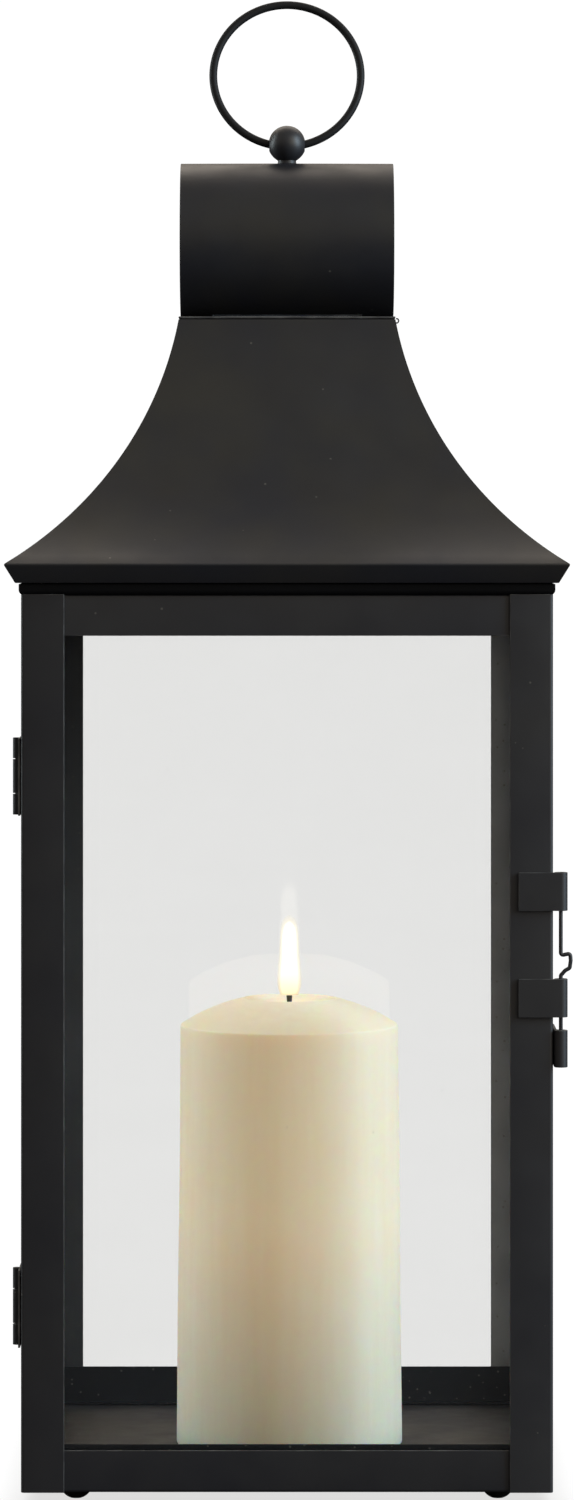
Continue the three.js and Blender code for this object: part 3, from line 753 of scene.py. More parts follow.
@dataclass(frozen=True)
class IvoryWax:
    """Ivory candle wax that light enters deeply, with a painted glow that rises up its side and gathers
    round the wick, standing in for the light of the lamp inside.
    """

    name: str = "ivory_wax"
    pale: tuple[float, float, float] = (0.88, 0.86, 0.74)
    deep: tuple[float, float, float] = (0.85, 0.81, 0.66)
    glow: tuple[float, float, float] = (1.0, 0.71, 0.38)
    glow_strength: float = 0.28
    glow_levels: tuple[float, float] = (0.006, 0.085)
    wick_base: tuple[float, float, float] = (0.0008, 0.0, 0.1535)
    wick_glow: float = 0.36
    wick_reach: float = 0.016

    def make(self) -> bpy.types.Material:
        """Builds the material.

        Returns:
            The wax.
        """
        nodes = Nodes(self.name)
        stretched = nodes.add("ShaderNodeMapping", {"Vector": nodes.place, "Scale": (1.0, 1.0, 0.06)})
        streak = nodes.noise(330.0, 3.0, stretched.outputs[0])
        cloud = nodes.noise(30.0, 4.0)
        share = nodes.ranged(nodes.math("ADD", streak, cloud), 0.75, 1.3, 0.0, 1.0)
        base = nodes.blend(share, self.pale, self.deep)
        relief = nodes.bump(streak, 0.03)
        relief = nodes.bump(nodes.noise(260.0, 4.0), 0.02, relief)
        # Painted glow: emission that grows with height and near the wick, so the foot stays darker.
        height = nodes.add("ShaderNodeSeparateXYZ", {0: nodes.place}).outputs[2]
        lit = nodes.ranged(height, *self.glow_levels, 0.0, self.glow_strength)
        inputs = {0: nodes.place, 1: self.wick_base}
        away = nodes.add("ShaderNodeVectorMath", inputs, operation="DISTANCE").outputs["Value"]
        near = nodes.math("POWER", nodes.ranged(away, 0.001, self.wick_reach, 1.0, 0.0), 2.0)
        lit = nodes.math("ADD", lit, nodes.math("MULTIPLY", near, self.wick_glow))
        shader = nodes.add(
            "ShaderNodeBsdfPrincipled",
            {
                "Base Color": base,
                "Roughness": nodes.ranged(cloud, 0.3, 0.7, 0.42, 0.55),
                "Normal": relief,
                "Subsurface Weight": 1.0,
                "Subsurface Radius": (1.0, 0.4, 0.15),
                "Subsurface Scale": 0.01,
                "IOR": 1.43,
                "Emission Color": solid(self.glow),
                "Emission Strength": lit,
            },
        )
        return nodes.done(shader)


@dataclass(frozen=True)
class FlameLight:
    """Light of the flame: bright below, and fading out to nothing at the tip."""

    name: str
    low: float
    high: float
    root: tuple[float, float, float]
    body: tuple[float, float, float]
    strength: float
    cover: tuple[float, float]
    fade_from: float

    def make(self) -> bpy.types.Material:
        """Builds the material.

        Returns:
            The light.
        """
        nodes = Nodes(self.name)
        height = nodes.add("ShaderNodeSeparateXYZ", {0: nodes.place}).outputs[2]
        rise = nodes.ranged(height, self.low, self.high, 0.0, 1.0)
        wisp = nodes.math("ADD", rise, nodes.math("MULTIPLY", nodes.noise(190.0, 2.0), 0.06))
        colour = nodes.blend(nodes.ranged(wisp, 0.0, 0.3, 0.0, 1.0), self.root, self.body)
        cover = nodes.ranged(wisp, self.fade_from, 1.03, *self.cover)
        shine = nodes.add("ShaderNodeEmission", {"Color": colour, "Strength": self.strength})
        clear = nodes.add("ShaderNodeBsdfTransparent")
        return nodes.done(
            nodes.add("ShaderNodeMixShader", {0: cover, 1: clear.outputs[0], 2: shine.outputs[0]})
        )


@dataclass(frozen=True)
class Plain:
    """A moulded, plated or printed material with fine mottling."""

    name: str
    tone: tuple[float, float, float]
    mottle: tuple[float, float, float]
    gloss: tuple[float, float] = (0.4, 0.5)
    metallic: float = 0.0
    grain: float = 500.0
    depth: float = 0.01

    def make(self) -> bpy.types.Material:
        """Builds the material.

        Returns:
            The material.
        """
        nodes = Nodes(self.name)
        pattern = nodes.noise(self.grain, 4.0)
        base = nodes.blend(nodes.ranged(pattern, 0.35, 0.7, 0.0, 1.0), self.tone, self.mottle)
        shader = nodes.add(
            "ShaderNodeBsdfPrincipled",
            {
                "Base Color": base,
                "Roughness": nodes.ranged(pattern, 0.3, 0.7, *self.gloss),
                "Metallic": self.metallic,
                "Normal": nodes.bump(pattern, self.depth),
            },
        )
        return nodes.done(shader)


@dataclass
class Finishes:
    """Every finish of the lantern, made once."""

    edge: bpy.types.Material = field(default_factory=WornAndLitEdge().make)
    paint: bpy.types.Material = field(default_factory=Paint("black_paint").make)
    roof: bpy.types.Material = field(
        default_factory=Paint(
            "roof_paint", warm=(0.02, 0.0185, 0.0165), gloss=(0.38, 0.5), waves=0.5, shine=0.36
        ).make
    )
    floor: bpy.types.Material = field(
        default_factory=Paint(
            "dusty_paint", warm=(0.024, 0.023, 0.021), dust_share=0.45, film=0.2, gloss=(0.42, 0.6)
        ).make
    )
    # Near-black paint that stands in for the shade under the eave: painted shade.
    under_eave_shade: bpy.types.Material = field(
        default_factory=Paint(
            "under_eave_shade_paint", (0.002, 0.002, 0.0025), (0.003, 0.003, 0.004), gloss=(0.6, 0.7), shine=0.08
        ).make
    )
    # Rear posts: the inner film is dust and painted light; the right post gets a lighter, stronger film as
    # a painted highlight for the lamp that lights it from the left.
    dusty_and_lit: dict[str, bpy.types.Material] = field(
        default_factory=lambda: {
            side: Paint(f"dust_and_light_paint_{side}", dust_share=0.35, inside=inside, dust_and_light=dust_and_light).make()
            for side, inside, dust_and_light in (
                ("left", 0.3, (0.16, 0.17, 0.19)),
                ("right", 0.95, (0.33, 0.35, 0.4)),
            )
        }
    )
    # Darker, cooler copy of the black paint for the retainer strips: painted shade.
    inner: bpy.types.Material = field(
        default_factory=Paint(
            "shaded_paint", (0.004, 0.0055, 0.008), (0.008, 0.0095, 0.012), dust_share=0.5, shine=0.2
        ).make
    )
    ring: bpy.types.Material = field(
        default_factory=Paint(
            "handle_paint", (0.009, 0.009, 0.0105), (0.013, 0.013, 0.014), gloss=(0.5, 0.6), shine=0.16
        ).make
    )
    glass: bpy.types.Material = field(default_factory=WindowGlass().make)
    rubber: bpy.types.Material = field(
        default_factory=Plain(
            "black_rubber", (0.012, 0.012, 0.013), (0.022, 0.022, 0.023), (0.45, 0.6)
        ).make
    )
    steel: bpy.types.Material = field(
        default_factory=Plain(
            "zinc_plate", (0.5, 0.5, 0.49), (0.62, 0.6, 0.55), (0.25, 0.4), 1.0, 260.0
        ).make
    )
    white: bpy.types.Material = field(
        default_factory=Plain(
            "cream_plastic", (0.72, 0.69, 0.6), (0.78, 0.75, 0.66), (0.35, 0.48)
        ).make
    )
    black: bpy.types.Material = field(
        default_factory=Plain("black_plastic", (0.01, 0.009, 0.008), (0.03, 0.022, 0.015)).make
    )
    jacket: bpy.types.Material = field(
        default_factory=Plain(
            "battery_jacket", (0.02, 0.09, 0.05), (0.03, 0.12, 0.07), (0.2, 0.3), 0.4, 200.0
        ).make
    )
    lens: bpy.types.Material = field(
        default_factory=Plain("lamp_lens", (0.9, 0.75, 0.45), (1.0, 0.85, 0.6), (0.1, 0.2)).make
    )

    @property
    def sheet(self) -> list[bpy.types.Material]:
        """Finishes of a painted sheet and of its edges."""
        return [self.paint, self.edge]

    @property
    def roof_sheet(self) -> list[bpy.types.Material]:
        """Finishes of the roof's sheet and of its edges."""
        return [self.roof, self.edge]


# ---------------------------------------------------------------------------------------------------
# Cage and door


@dataclass
class Window:
    """Rails, pane and retainer strip of one side of the lantern."""

    side: str
    turn: float
    body: str
    bend: float = 1.0
    lip_rise: float = 2.0
    closing: float = 0.2
    pane_edge: float = 0.25

    def corners(self, part: str) -> tuple[np.ndarray, np.ndarray]:
        """Box of one of this window's CAD nodes, turned to face +Y."""
        return node_box(f"{self.side}_{part}", self.turn)

    def strip(
        self, part: str, line: list[tuple[float, float]], finishes: Finishes, side: Side
    ) -> None:
        """Makes a bent strip that runs the length of its CAD node.

        Args:
            part: Name of the strip.
            line: Section of (y, z) points.
            finishes: The lantern's finishes.
            side: Side of the section on which the thickness lies.
        """
        low, high = self.corners(part)
        grid = carried(rounded(line, self.bend), "x", np.array([low[0], high[0]]))
        place = Place(self.body, "black_paint", (f"{self.side}_{part}",))
        # The retainer strips take the darker paint as painted shade.
        shades = [finishes.inner, finishes.inner] if part == "retainer" else finishes.sheet
        sheet_piece(f"{self.side}_window_{part}", rotated(grid, self.turn), place, shades, side)

    def build(self, finishes: Finishes) -> None:
        """Makes the two rails, the retainer strip and the pane.

        Args:
            finishes: The lantern's finishes.
        """
        low, high = self.corners("bottom_rail")
        face = high[1] + self.closing
        line = [(face, high[2]), (face, low[2]), (low[1], low[2])]
        self.strip("bottom_rail", line, finishes, Side.RIGHT)
        low, high = self.corners("top_rail")
        line = [
            (face, low[2]),
            (face, high[2]),
            (low[1], high[2]),
            (low[1], low[2] + self.lip_rise),
        ]
        self.strip("top_rail", line, finishes, Side.LEFT)
        low, high = self.corners("retainer")
        line = [(high[1], high[2]), (high[1], low[2]), (low[1], low[2])]
        self.strip("retainer", line, finishes, Side.RIGHT)
        low, high = self.corners("glass")
        pane = Place(self.body, "clear_glass", (f"{self.side}_glass",))
        grid = rotated(box_grid(low, high), self.turn)
        solid_piece(f"{self.side}_pane", grid, pane, [finishes.glass], edge=self.pane_edge)


@dataclass
class Cage:
    """The fixed body: posts, three windows, floor, feet and the plate below the roof."""

    rim_bend: float = 1.1
    foot_sides: int = 40
    foot_rim: float = 4.4
    foot_flat: float = 0.36
    vent_radius: float = 45.0
    plate_ring: float = 0.8

    def build(self, finishes: Finishes) -> None:
        """Makes every piece of the cage.

        Args:
            finishes: The lantern's finishes.
        """
        for end, sign_y in (("front", -1.0), ("rear", 1.0)):
            for side, sign_x in (("left", -1.0), ("right", 1.0)):
                angle_post(
                    f"{end}_{side}_post",
                    f"post_{end}_{side}",
                    (sign_x, sign_y),
                    "lantern",
                    [finishes.dusty_and_lit[side], finishes.edge] if end == "rear" else finishes.sheet,
                )
                self.foot(end, side, finishes)
        for side, turn in (("rear", 0.0), ("left", 90.0), ("right", -90.0)):
            Window(side, turn, "lantern").build(finishes)
        self.neck(finishes)
        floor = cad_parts["floor_plate"]
        floor.material_slots[0].material = finishes.floor

    def foot(self, end: str, side: str, finishes: Finishes) -> None:
        """Turns one domed foot with a moulded rim, flat below at a share of its radius.

        Args:
            end: "front" or "rear".
            side: "left" or "right".
            finishes: The lantern's finishes.
        """
        node = f"foot_{end}_{side}"
        low, high = node_box(node)
        radius = (high[0] - low[0]) / 2
        rim = self.foot_rim
        flat = math.acos(self.foot_flat)
        dome = arc((0.0, 0.0), 1.0, -math.degrees(flat), 0.0, 10) * [radius, rim / math.sin(flat)]
        profile = np.vstack(
            [[[0.0, 0.0]], dome + [0.0, rim], [[radius, high[2]]], [[0.0, high[2]]]]
        )
        centre = tuple(((low + high) / 2)[:2])
        place = Place("lantern", "black_rubber", (node,))
        grid = turned(profile, self.foot_sides, centre)
        solid_piece(f"{end}_{side}_foot", grid, place, [finishes.rubber])

    def neck(self, finishes: Finishes) -> None:
        """Makes the plate over the glass: a dished square with an upturned rim and a round vent.

        Each station of its grid runs from the vent's circle out to the square, up the bend and to
        the top of the rim. Outwards from the middle, a point goes from the circle to the square in
        proportion.

        Args:
            finishes: The lantern's finishes.
        """
        low, high = node_box("vent_plate")
        half = high[0]
        angle = np.radians(np.linspace(0.0, 360.0, 121))
        direction = np.stack([np.cos(angle), np.sin(angle)], axis=1)
        square = direction / np.abs(direction).max(axis=1, keepdims=True)
        bend = arc((0.0, 0.0), self.rim_bend, -90.0, 0.0, 5)
        rise = np.concatenate([[0.0, 0.0], bend[:, 1] + self.rim_bend, [high[2] - low[2]]]) + low[2]
        reach = np.concatenate([[half * self.plate_ring], bend[:, 0] + half - self.rim_bend, [half]])
        vent = direction * self.vent_radius
        flat = np.concatenate([vent[None], square[None] * reach[:, None, None]])
        grid = np.concatenate(
            [flat, np.broadcast_to(rise[:, None, None], (*flat.shape[:2], 1))], axis=-1
        )
        place = Place("lantern", "black_paint", ("vent_plate",))
        # The plate is painted near black as painted shade under the eave.
        shaded = [finishes.under_eave_shade, finishes.under_eave_shade]
        sheet_piece("neck_plate", grid[:, ::-1], place, shaded)


def angle_post(
    name: str,
    node: str,
    corner: tuple[float, float],
    body: str,
    finishes: list[bpy.types.Material],
) -> None:
    """Makes an upright angle with a rounded outer corner.

    Args:
        name: Name of the piece.
        node: CAD node that it stands for.
        corner: Signs of x and y at its outer corner.
        body: Body that it rides on.
        finishes: Finishes of the sheet and of its edges.
    """
    low, high = node_box(node)
    at_x = (high if corner[0] > 0 else low)[0]
    at_y = (high if corner[1] > 0 else low)[1]
    in_x = (low if corner[0] > 0 else high)[0]
    in_y = (low if corner[1] > 0 else high)[1]
    line = rounded([(at_x, in_y), (at_x, at_y), (in_x, at_y)], POST_BEND)
    side = Side.LEFT if corner[0] * corner[1] > 0 else Side.RIGHT
    grid = carried(line, "z", np.array([low[2], high[2]]))
    sheet_piece(name, grid, Place(body, "black_paint", (node,)), finishes, side)


@dataclass
class Door:
    """The glazed door: two full-height stiles and a window between them."""

    def build(self, finishes: Finishes) -> None:
        """Makes the stiles and the window.

        Args:
            finishes: The lantern's finishes.
        """
        for side, sign in (("left", -1.0), ("right", 1.0)):
            name, node = f"door_{side}_stile", f"door_stile_{side}"
            angle_post(name, node, (sign, -1.0), "door", finishes.sheet)
        Window("door", 180.0, "door").build(finishes)


@dataclass
class Hinges:
    """Two small surface hinges on the left side: rolled leaves and a pin with peened ends."""

    sheet: float = 0.65
    pin: float = 1.2
    clearance: float = 0.1
    middle: float = 11.0
    gap: float = 0.3
    roll: float = 300.0
    edge: float = 0.1
    peen: float = 0.25
    peen_share: float = 0.7

    def leaf(self, level: str, member: str, sign: float, finishes: Finishes) -> None:
        """Makes a leaf whose grid runs round the knuckle and out along the plate.

        The plate has its full height, and the roll is left out beside the other leaf's knuckles.

        Args:
            level: "lower" or "upper".
            member: "body" or "door".
            sign: 1 if the plate runs towards +Y, and -1 if towards -Y.
            finishes: The lantern's finishes.
        """
        node = f"hinge_{level}_{member}_leaf"
        low, high = node_box(node)
        pin_low, pin_high = node_box(f"hinge_{level}_pin")
        x, y, z = (pin_low + pin_high) / 2
        radius = self.pin / 2 + self.clearance + self.sheet
        half = (high[2] - low[2]) / 2
        width = (high[1] - y) if sign > 0 else (y - low[1])
        roll = arc((0.0, 0.0), radius, 0.0, -self.roll, 30)
        plate = np.stack([np.full(6, radius), np.linspace(width, radius + self.gap, 6)], axis=1)
        line = np.vstack([plate, roll])
        heights = np.array([-half, -self.middle / 2 - self.gap, -self.middle / 2])
        heights = np.concatenate([heights, -heights[::-1]])
        grid = carried(line * [1.0, sign] + [x, y], "z", heights + z)
        keep = np.ones((len(heights) - 1, len(line) - 1), bool)
        rolled = np.arange(len(line) - 1) >= len(plate) - 1
        mine = [0, len(heights) - 2] if member == "body" else [len(heights) // 2 - 1]
        others = np.isin(np.arange(len(heights) - 1), mine, invert=True)
        keep[np.ix_(others, rolled)] = False
        side = Side.RIGHT if sign > 0 else Side.LEFT
        place = Place("lantern" if member == "body" else "door", "black_paint", (node,))
        name = f"{level}_hinge_{member}_leaf"
        sheet_piece(name, grid, place, finishes.sheet, side, self.sheet, keep, self.edge)

    def build(self, finishes: Finishes) -> None:
        """Makes both hinges.

        Args:
            finishes: The lantern's finishes.
        """
        for level in ("lower", "upper"):
            self.leaf(level, "body", 1.0, finishes)
            self.leaf(level, "door", -1.0, finishes)
            low, high = node_box(f"hinge_{level}_pin")
            centre = tuple(((low + high) / 2)[:2])
            radius = self.pin / 2
            ends = np.array([low[2], low[2] + self.peen, high[2] - self.peen, high[2]])
            radii = radius * np.array([self.peen_share, 1.0, 1.0, self.peen_share])
            profile = np.vstack([[0.0, low[2]], np.stack([radii, ends], axis=1), [0.0, high[2]]])
            place = Place("lantern", "black_paint", (f"hinge_{level}_pin",))
            solid_piece(f"{level}_hinge_pin", turned(profile, 24, centre), place, finishes.sheet)


@dataclass
class Latch:
    """Drop-pin latch on the right: two straps rolled into eyes, a cranked wire pin and a keeper."""

    strap_sheet: float = 1.0
    edge: float = 0.15
    strap_roll: tuple[float, float] = (-90.0, 215.0)
    keeper_roll: tuple[float, float] = (110.0, -205.0)
    clearance: float = 0.3
    crank_bend: float = 0.75
    crank: tuple[tuple[float, float], ...] = (
        (0.0, 0.1),
        (1.44, 1.7),
        (2.88, 2.5),
        (3.2, 4.9),
        (3.05, 7.2),
        (0.0, 6.55),
    )

    def eye(self) -> tuple[float, float, float]:
        """Middle of the eyes and their outer radius, from the pin and a strap."""
        low, high = node_box("latch_strap_upper")
        radius = high[0] - node_box("latch_pin")[0][0] - self.pin_radius()
        return high[0] - radius, low[1] + radius, radius

    def pin_radius(self) -> float:
        """Radius of the pin's wire, from its depth along Y."""
        low, high = node_box("latch_pin")
        return (high[1] - low[1]) / 2

    def build(self, finishes: Finishes) -> None:
        """Makes the straps, the keeper and the pin.

        Args:
            finishes: The lantern's finishes.
        """
        x, y, radius = self.eye()
        for level in ("upper", "lower"):
            node = f"latch_strap_{level}"
            low, high = node_box(node)
            roll = arc((x, y), radius, *self.strap_roll, 40)
            flat = np.stack([np.linspace(low[0], x, 5)[:-1], np.full(4, low[1])], axis=1)
            grid = carried(np.vstack([flat, roll]), "z", np.array([low[2], high[2]]))
            place = Place("door", "black_paint", (node,))
            name = f"{level}_latch_strap"
            sheet_piece(
                name, grid, place, finishes.sheet, thickness=self.strap_sheet, edge=self.edge
            )
        self.keeper(x, y, radius, finishes)
        self.pin(x, y, finishes)

    def keeper(self, x: float, y: float, radius: float, finishes: Finishes) -> None:
        """Makes the keeper, a plate whose end is rolled round the pin.

        Args:
            x: Middle of the pin.
            y: Middle of the pin.
            radius: Outer radius of the roll.
            finishes: The lantern's finishes.
        """
        low, high = node_box("latch_keeper")
        face = low[0] + self.strap_sheet
        bend = y + radius + self.strap_sheet / 2
        curl = arc((x, y), radius, *self.keeper_roll, 48)
        line = np.vstack([[[face, high[1]], [face, bend]], curl])
        grid = carried(line, "z", np.array([low[2], high[2]]))
        place = Place("lantern", "black_paint", ("latch_keeper",))
        shades = finishes.sheet
        sheet_piece(
            "latch_keeper_plate", grid, place, shades, Side.RIGHT, self.strap_sheet, edge=self.edge
        )

    def pin(self, x: float, y: float, finishes: Finishes) -> None:
        """Bends the pin: a straight wire with a crank that goes squarely out above and sweeps back below.

        The crank's corners are given by how far they stand out and by their height above its foot,
        which rests on the lower strap.

        Args:
            x: Middle of the straight wire.
            y: Middle of the straight wire.
            finishes: The lantern's finishes.
        """
        low, high = node_box("latch_pin")
        strap = node_box("latch_strap_lower")[1][2]
        radius = self.pin_radius()
        foot = strap + radius + self.clearance
        crank = [(out, foot + rise) for out, rise in self.crank]
        bent = rounded([(0.0, low[2]), *crank, (0.0, high[2])], self.crank_bend, 6)
        path = np.stack([x + bent[:, 0], np.full(len(bent), y), bent[:, 1]], axis=1)
        path, share = domed_ends(path, radius)
        grid = tube(path, 1.0, 16, np.array([0.0, 1.0, 0.0]))
        grid = path[:, None, :] + (grid - path[:, None, :]) * (radius * share)[:, None, None]
        solid_piece("drop_pin", grid, Place("latch_pin", "black_paint", ("latch_pin",)), finishes.sheet)


# ---------------------------------------------------------------------------------------------------
# Roof, chimney and handle


@dataclass
class Roof:
    """Concave pyramid of four soldered panels with an eave lip, and the flat cap on top."""

    arc_radius: float = 120.0
    lip_lean: float = 3.6
    lip_height: float = 6.1
    bend: float = 0.6
    lip_bend: float = 0.5
    inward: float = 7.5
    flange: float = 5.0
    seam: float = 0.04
    across: int = 33
    dent: float = 0.12
    hip_edge: float = 0.3
    ear_radius: float = 0.95
    ear_sheet: float = 0.45
    ear_edge: float = 0.08

    def build(self, finishes: Finishes) -> None:
        """Makes the panels and the cap.

        Args:
            finishes: The lantern's finishes.
        """
        low, high = node_box("roof_panel_front")
        cap_low, cap_high = node_box("roof_cap")
        half = cap_high[0]
        eave = -low[1]
        edge = low[2] + self.lip_height
        foot = eave - self.lip_lean
        curve = arc_between(np.array([eave, edge]), np.array([half, high[2]]), self.arc_radius, 40)
        hem = [(foot - self.inward, low[2]), (foot, low[2]), tuple(curve[0])]
        inner = rounded(hem, self.lip_bend, 3)
        outer = rounded([tuple(inner[-2]), tuple(curve[0]), tuple(curve[2])], self.bend, 6)
        line = np.vstack([inner[:-1], outer[1:], curve[3:], [[half - self.flange, high[2]]]])
        share = np.linspace(-1.0, 1.0, self.across)[:, None]
        reach = (line[:, 0] - self.seam)[None, :]
        sway = self.dent * np.sin(np.pi * share * 2 + 0.7) * np.sin(
            np.pi * np.linspace(0.0, 1.0, len(line))
        )
        sway *= 1 - share**2
        grid = np.stack(
            [share * reach, -(line[None, :, 0] + sway), line[None, :, 1] + 0 * share], axis=-1
        )
        for index, side in enumerate(("front", "right", "rear", "left")):
            place = Place("lantern", "black_paint", (f"roof_panel_{side}",))
            panel = rotated(grid, 90.0 * index)
            name = f"roof_{side}_panel"
            sheet_piece(name, panel, place, finishes.roof_sheet, Side.RIGHT, edge=self.hip_edge)
        self.cap(cap_low, cap_high, finishes)

    def cap(self, low: np.ndarray, high: np.ndarray, finishes: Finishes) -> None:
        """Makes the cap, a flat plate with the flue slot and a small curled ear at its right end.

        Args:
            low: Lowest corner of the cap.
            high: Highest corner of the cap.
            finishes: The lantern's finishes.
        """
        across = np.array([low[0], -FLUE_LENGTH / 2, FLUE_LENGTH / 2, high[0]])
        deep = np.array([low[1], -FLUE_WIDTH / 2, FLUE_WIDTH / 2, high[1]])
        x, y = np.meshgrid(across, deep, indexing="ij")
        grid = np.stack([x, y, np.full_like(x, high[2])], axis=-1)
        keep = np.ones((3, 3), bool)
        keep[1, 1] = False
        place = Place("lantern", "black_paint", ("roof_cap",))
        sheet_piece("roof_cap_plate", grid, place, finishes.roof_sheet, Side.RIGHT, keep=keep)
        ear = arc((high[0] + 0.35, low[2] - 0.75), self.ear_radius, 100.0, -215.0, 24)
        places = np.array([low[1] + 0.2, low[1] + 2.4])
        curl = np.stack(np.broadcast_arrays(ear[None, :, 0], places[:, None], ear[None, :, 1]), axis=-1)
        shades = finishes.roof_sheet
        sheet_piece(
            "roof_cap_ear", curl, place, shades, thickness=self.ear_sheet, edge=self.ear_edge
        )


@dataclass
class Chimney:
    """Rolled chimney that lies on the cap, open at both ends and slotted over the flue."""

    dent: float = 0.1
    edge: float = 0.15
    slot_cells: int = 8
    round_cells: int = 119
    length_cells: int = 16

    def build(self, finishes: Finishes) -> None:
        """Makes the tube, whose grid runs round it from its seam at the bottom.

        A point is at the centre + radius (cos, sin) of its angle, and the radius wanders a little.

        Args:
            finishes: The lantern's finishes.
        """
        low, high = node_box("chimney")
        radius = (high[2] - low[2]) / 2
        centre = (high[2] + low[2]) / 2
        slot = math.degrees(math.asin(FLUE_WIDTH / 2 / radius))
        slotted = np.linspace(-slot, slot, self.slot_cells + 1)
        whole = np.linspace(slot, 360 - slot, self.round_cells + 1)
        angle = np.radians(np.concatenate([slotted, whole[1:]]))
        half = FLUE_LENGTH / 2
        inner = np.linspace(-half, half, self.length_cells + 1)
        x = np.concatenate([[low[0], (low[0] - half) / 2], inner, [(high[0] + half) / 2, high[0]]])
        around, along = np.meshgrid(angle - math.pi / 2, x, indexing="ij")
        wander = 1 - (self.dent / radius) * (0.5 + 0.5 * np.sin(3 * around + along / 14)) * np.cos(
            around / 2 - math.pi / 4
        ) ** 2
        grid = np.stack(
            [
                along,
                radius * wander * np.cos(around),
                centre + radius * wander * np.sin(around),
            ],
            axis=-1,
        )
        keep = np.ones((len(angle) - 1, len(x) - 1), bool)
        keep[: self.slot_cells, 2:-2] = False
        faces = grid_faces(len(angle), len(x), keep=keep)
        piece = make_mesh("chimney_tube", grid, faces.tolist(), finishes.roof_sheet)
        merge_points(piece, closed=False)
        give_wall(piece, SHEET, Side.LEFT, even=False)
        soften_edges(piece, self.edge)
        Place("lantern", "black_paint", ("chimney",)).claim(piece)
        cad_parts["finial_nut"].material_slots[0].material = finishes.steel


@dataclass
class Handle:
    """Ball finial on its neck, and the ring handle through it."""

    wire: float = 2.7
    hole: float = 1.96
    bore_share: float = 0.97
    hole_drop: float = 0.3
    stud: float = 1.5
    collar: float = 0.25
    neck: float = 6.3
    lean: float = 13.0
    stations: int = 160
    sides: int = 20

    def build(self, finishes: Finishes) -> None:
        """Makes the ball, its neck and the ring.

        Args:
            finishes: The lantern's finishes.
        """
        low, high = node_box("finial")
        radius = (high[0] - low[0]) / 2
        centre = high[2] - radius
        chimney_top = node_box("chimney")[1][2]
        place = Place("lantern", "black_paint", ("finial",))
        self.ball(radius, centre, place, finishes)
        foot = chimney_top + 0.05
        profile = np.array(
            [
                [0.0, low[2]],
                [self.stud * 0.8, low[2]],
                [self.stud, low[2] + 0.4],
                [self.stud, foot],
                [self.neck / 2 + self.collar, foot],
                [self.neck / 2 + self.collar, foot + 0.4],
                [self.neck / 2, foot + 0.7],
                [self.neck / 2 - 0.1, centre - radius * 0.82],
                [0.0, centre - radius * 0.6],
            ]
        )
        solid_piece("finial_neck", turned(profile, 40), place, finishes.sheet, edge=0.1)
        self.ring(centre - self.hole_drop, finishes)

    def ball(self, radius: float, centre: float, place: Place, finishes: Finishes) -> None:
        """Makes the ball with its cross hole.

        Round the X axis, a point of the ball is radius (cos, sin) of its latitude, and near the hole
        it slides down with the hole. The hole is a straight bore between its two rims.

        Args:
            radius: Radius of the ball.
            centre: Height of its middle.
            place: Body, slot and nodes.
            finishes: The lantern's finishes.
        """
        rim = math.asin(self.hole / radius)
        latitude = np.linspace(rim, math.pi - rim, 41)
        away, x = radius * np.sin(latitude), -radius * np.cos(latitude)
        away = np.concatenate([away, np.full(2, self.hole * self.bore_share)])
        x = np.concatenate([x, [x[-1] - 0.5, x[0] + 0.5]])
        angle = np.linspace(0.0, 2 * math.pi, 56, endpoint=False)
        slide = self.hole_drop * np.clip((radius - away) / (radius - self.hole), 0.0, 1.0) ** 3
        grid = np.stack(
            np.broadcast_arrays(
                x[:, None],
                away[:, None] * np.cos(angle),
                centre - slide[:, None] + away[:, None] * np.sin(angle),
            ),
            axis=-1,
        )
        solid_piece("finial_ball", grid, place, [finishes.paint], wrap_rows=True)

    def ring(self, pivot: float, finishes: Finishes) -> None:
        """Makes the ring: centre line a circle through the pivot, wire a circle across it.

        Args:
            pivot: Height of the joint's axis.
            finishes: The lantern's finishes.
        """
        low, high = node_box("ring_handle")
        radius = (high[0] - low[0] - self.wire) / 2
        ball = node_box("finial")
        half_ball = (ball[1][0] - ball[0][0]) / 2
        sag = radius - math.sqrt(radius**2 - half_ball**2)
        u = np.linspace(0.0, 2 * math.pi, self.stations, endpoint=False)[:, None]
        v = np.linspace(0.0, 2 * math.pi, self.sides, endpoint=False)[None, :]
        out = radius + self.wire / 2 * np.cos(v)
        upright = radius - sag / 2 + out * np.sin(u)
        deep = self.wire / 2 * np.sin(v) + 0 * u
        lean = math.radians(self.lean)
        grid = np.stack(
            [
                out * np.cos(u),
                upright * math.sin(lean) + deep * math.cos(lean),
                pivot + upright * math.cos(lean) - deep * math.sin(lean),
            ],
            axis=-1,
        )
        place = Place("ring", "black_paint", ("ring_handle",))
        solid_piece("handle_ring", grid, place, [finishes.ring], wrap_rows=True)


# ---------------------------------------------------------------------------------------------------
# Candle


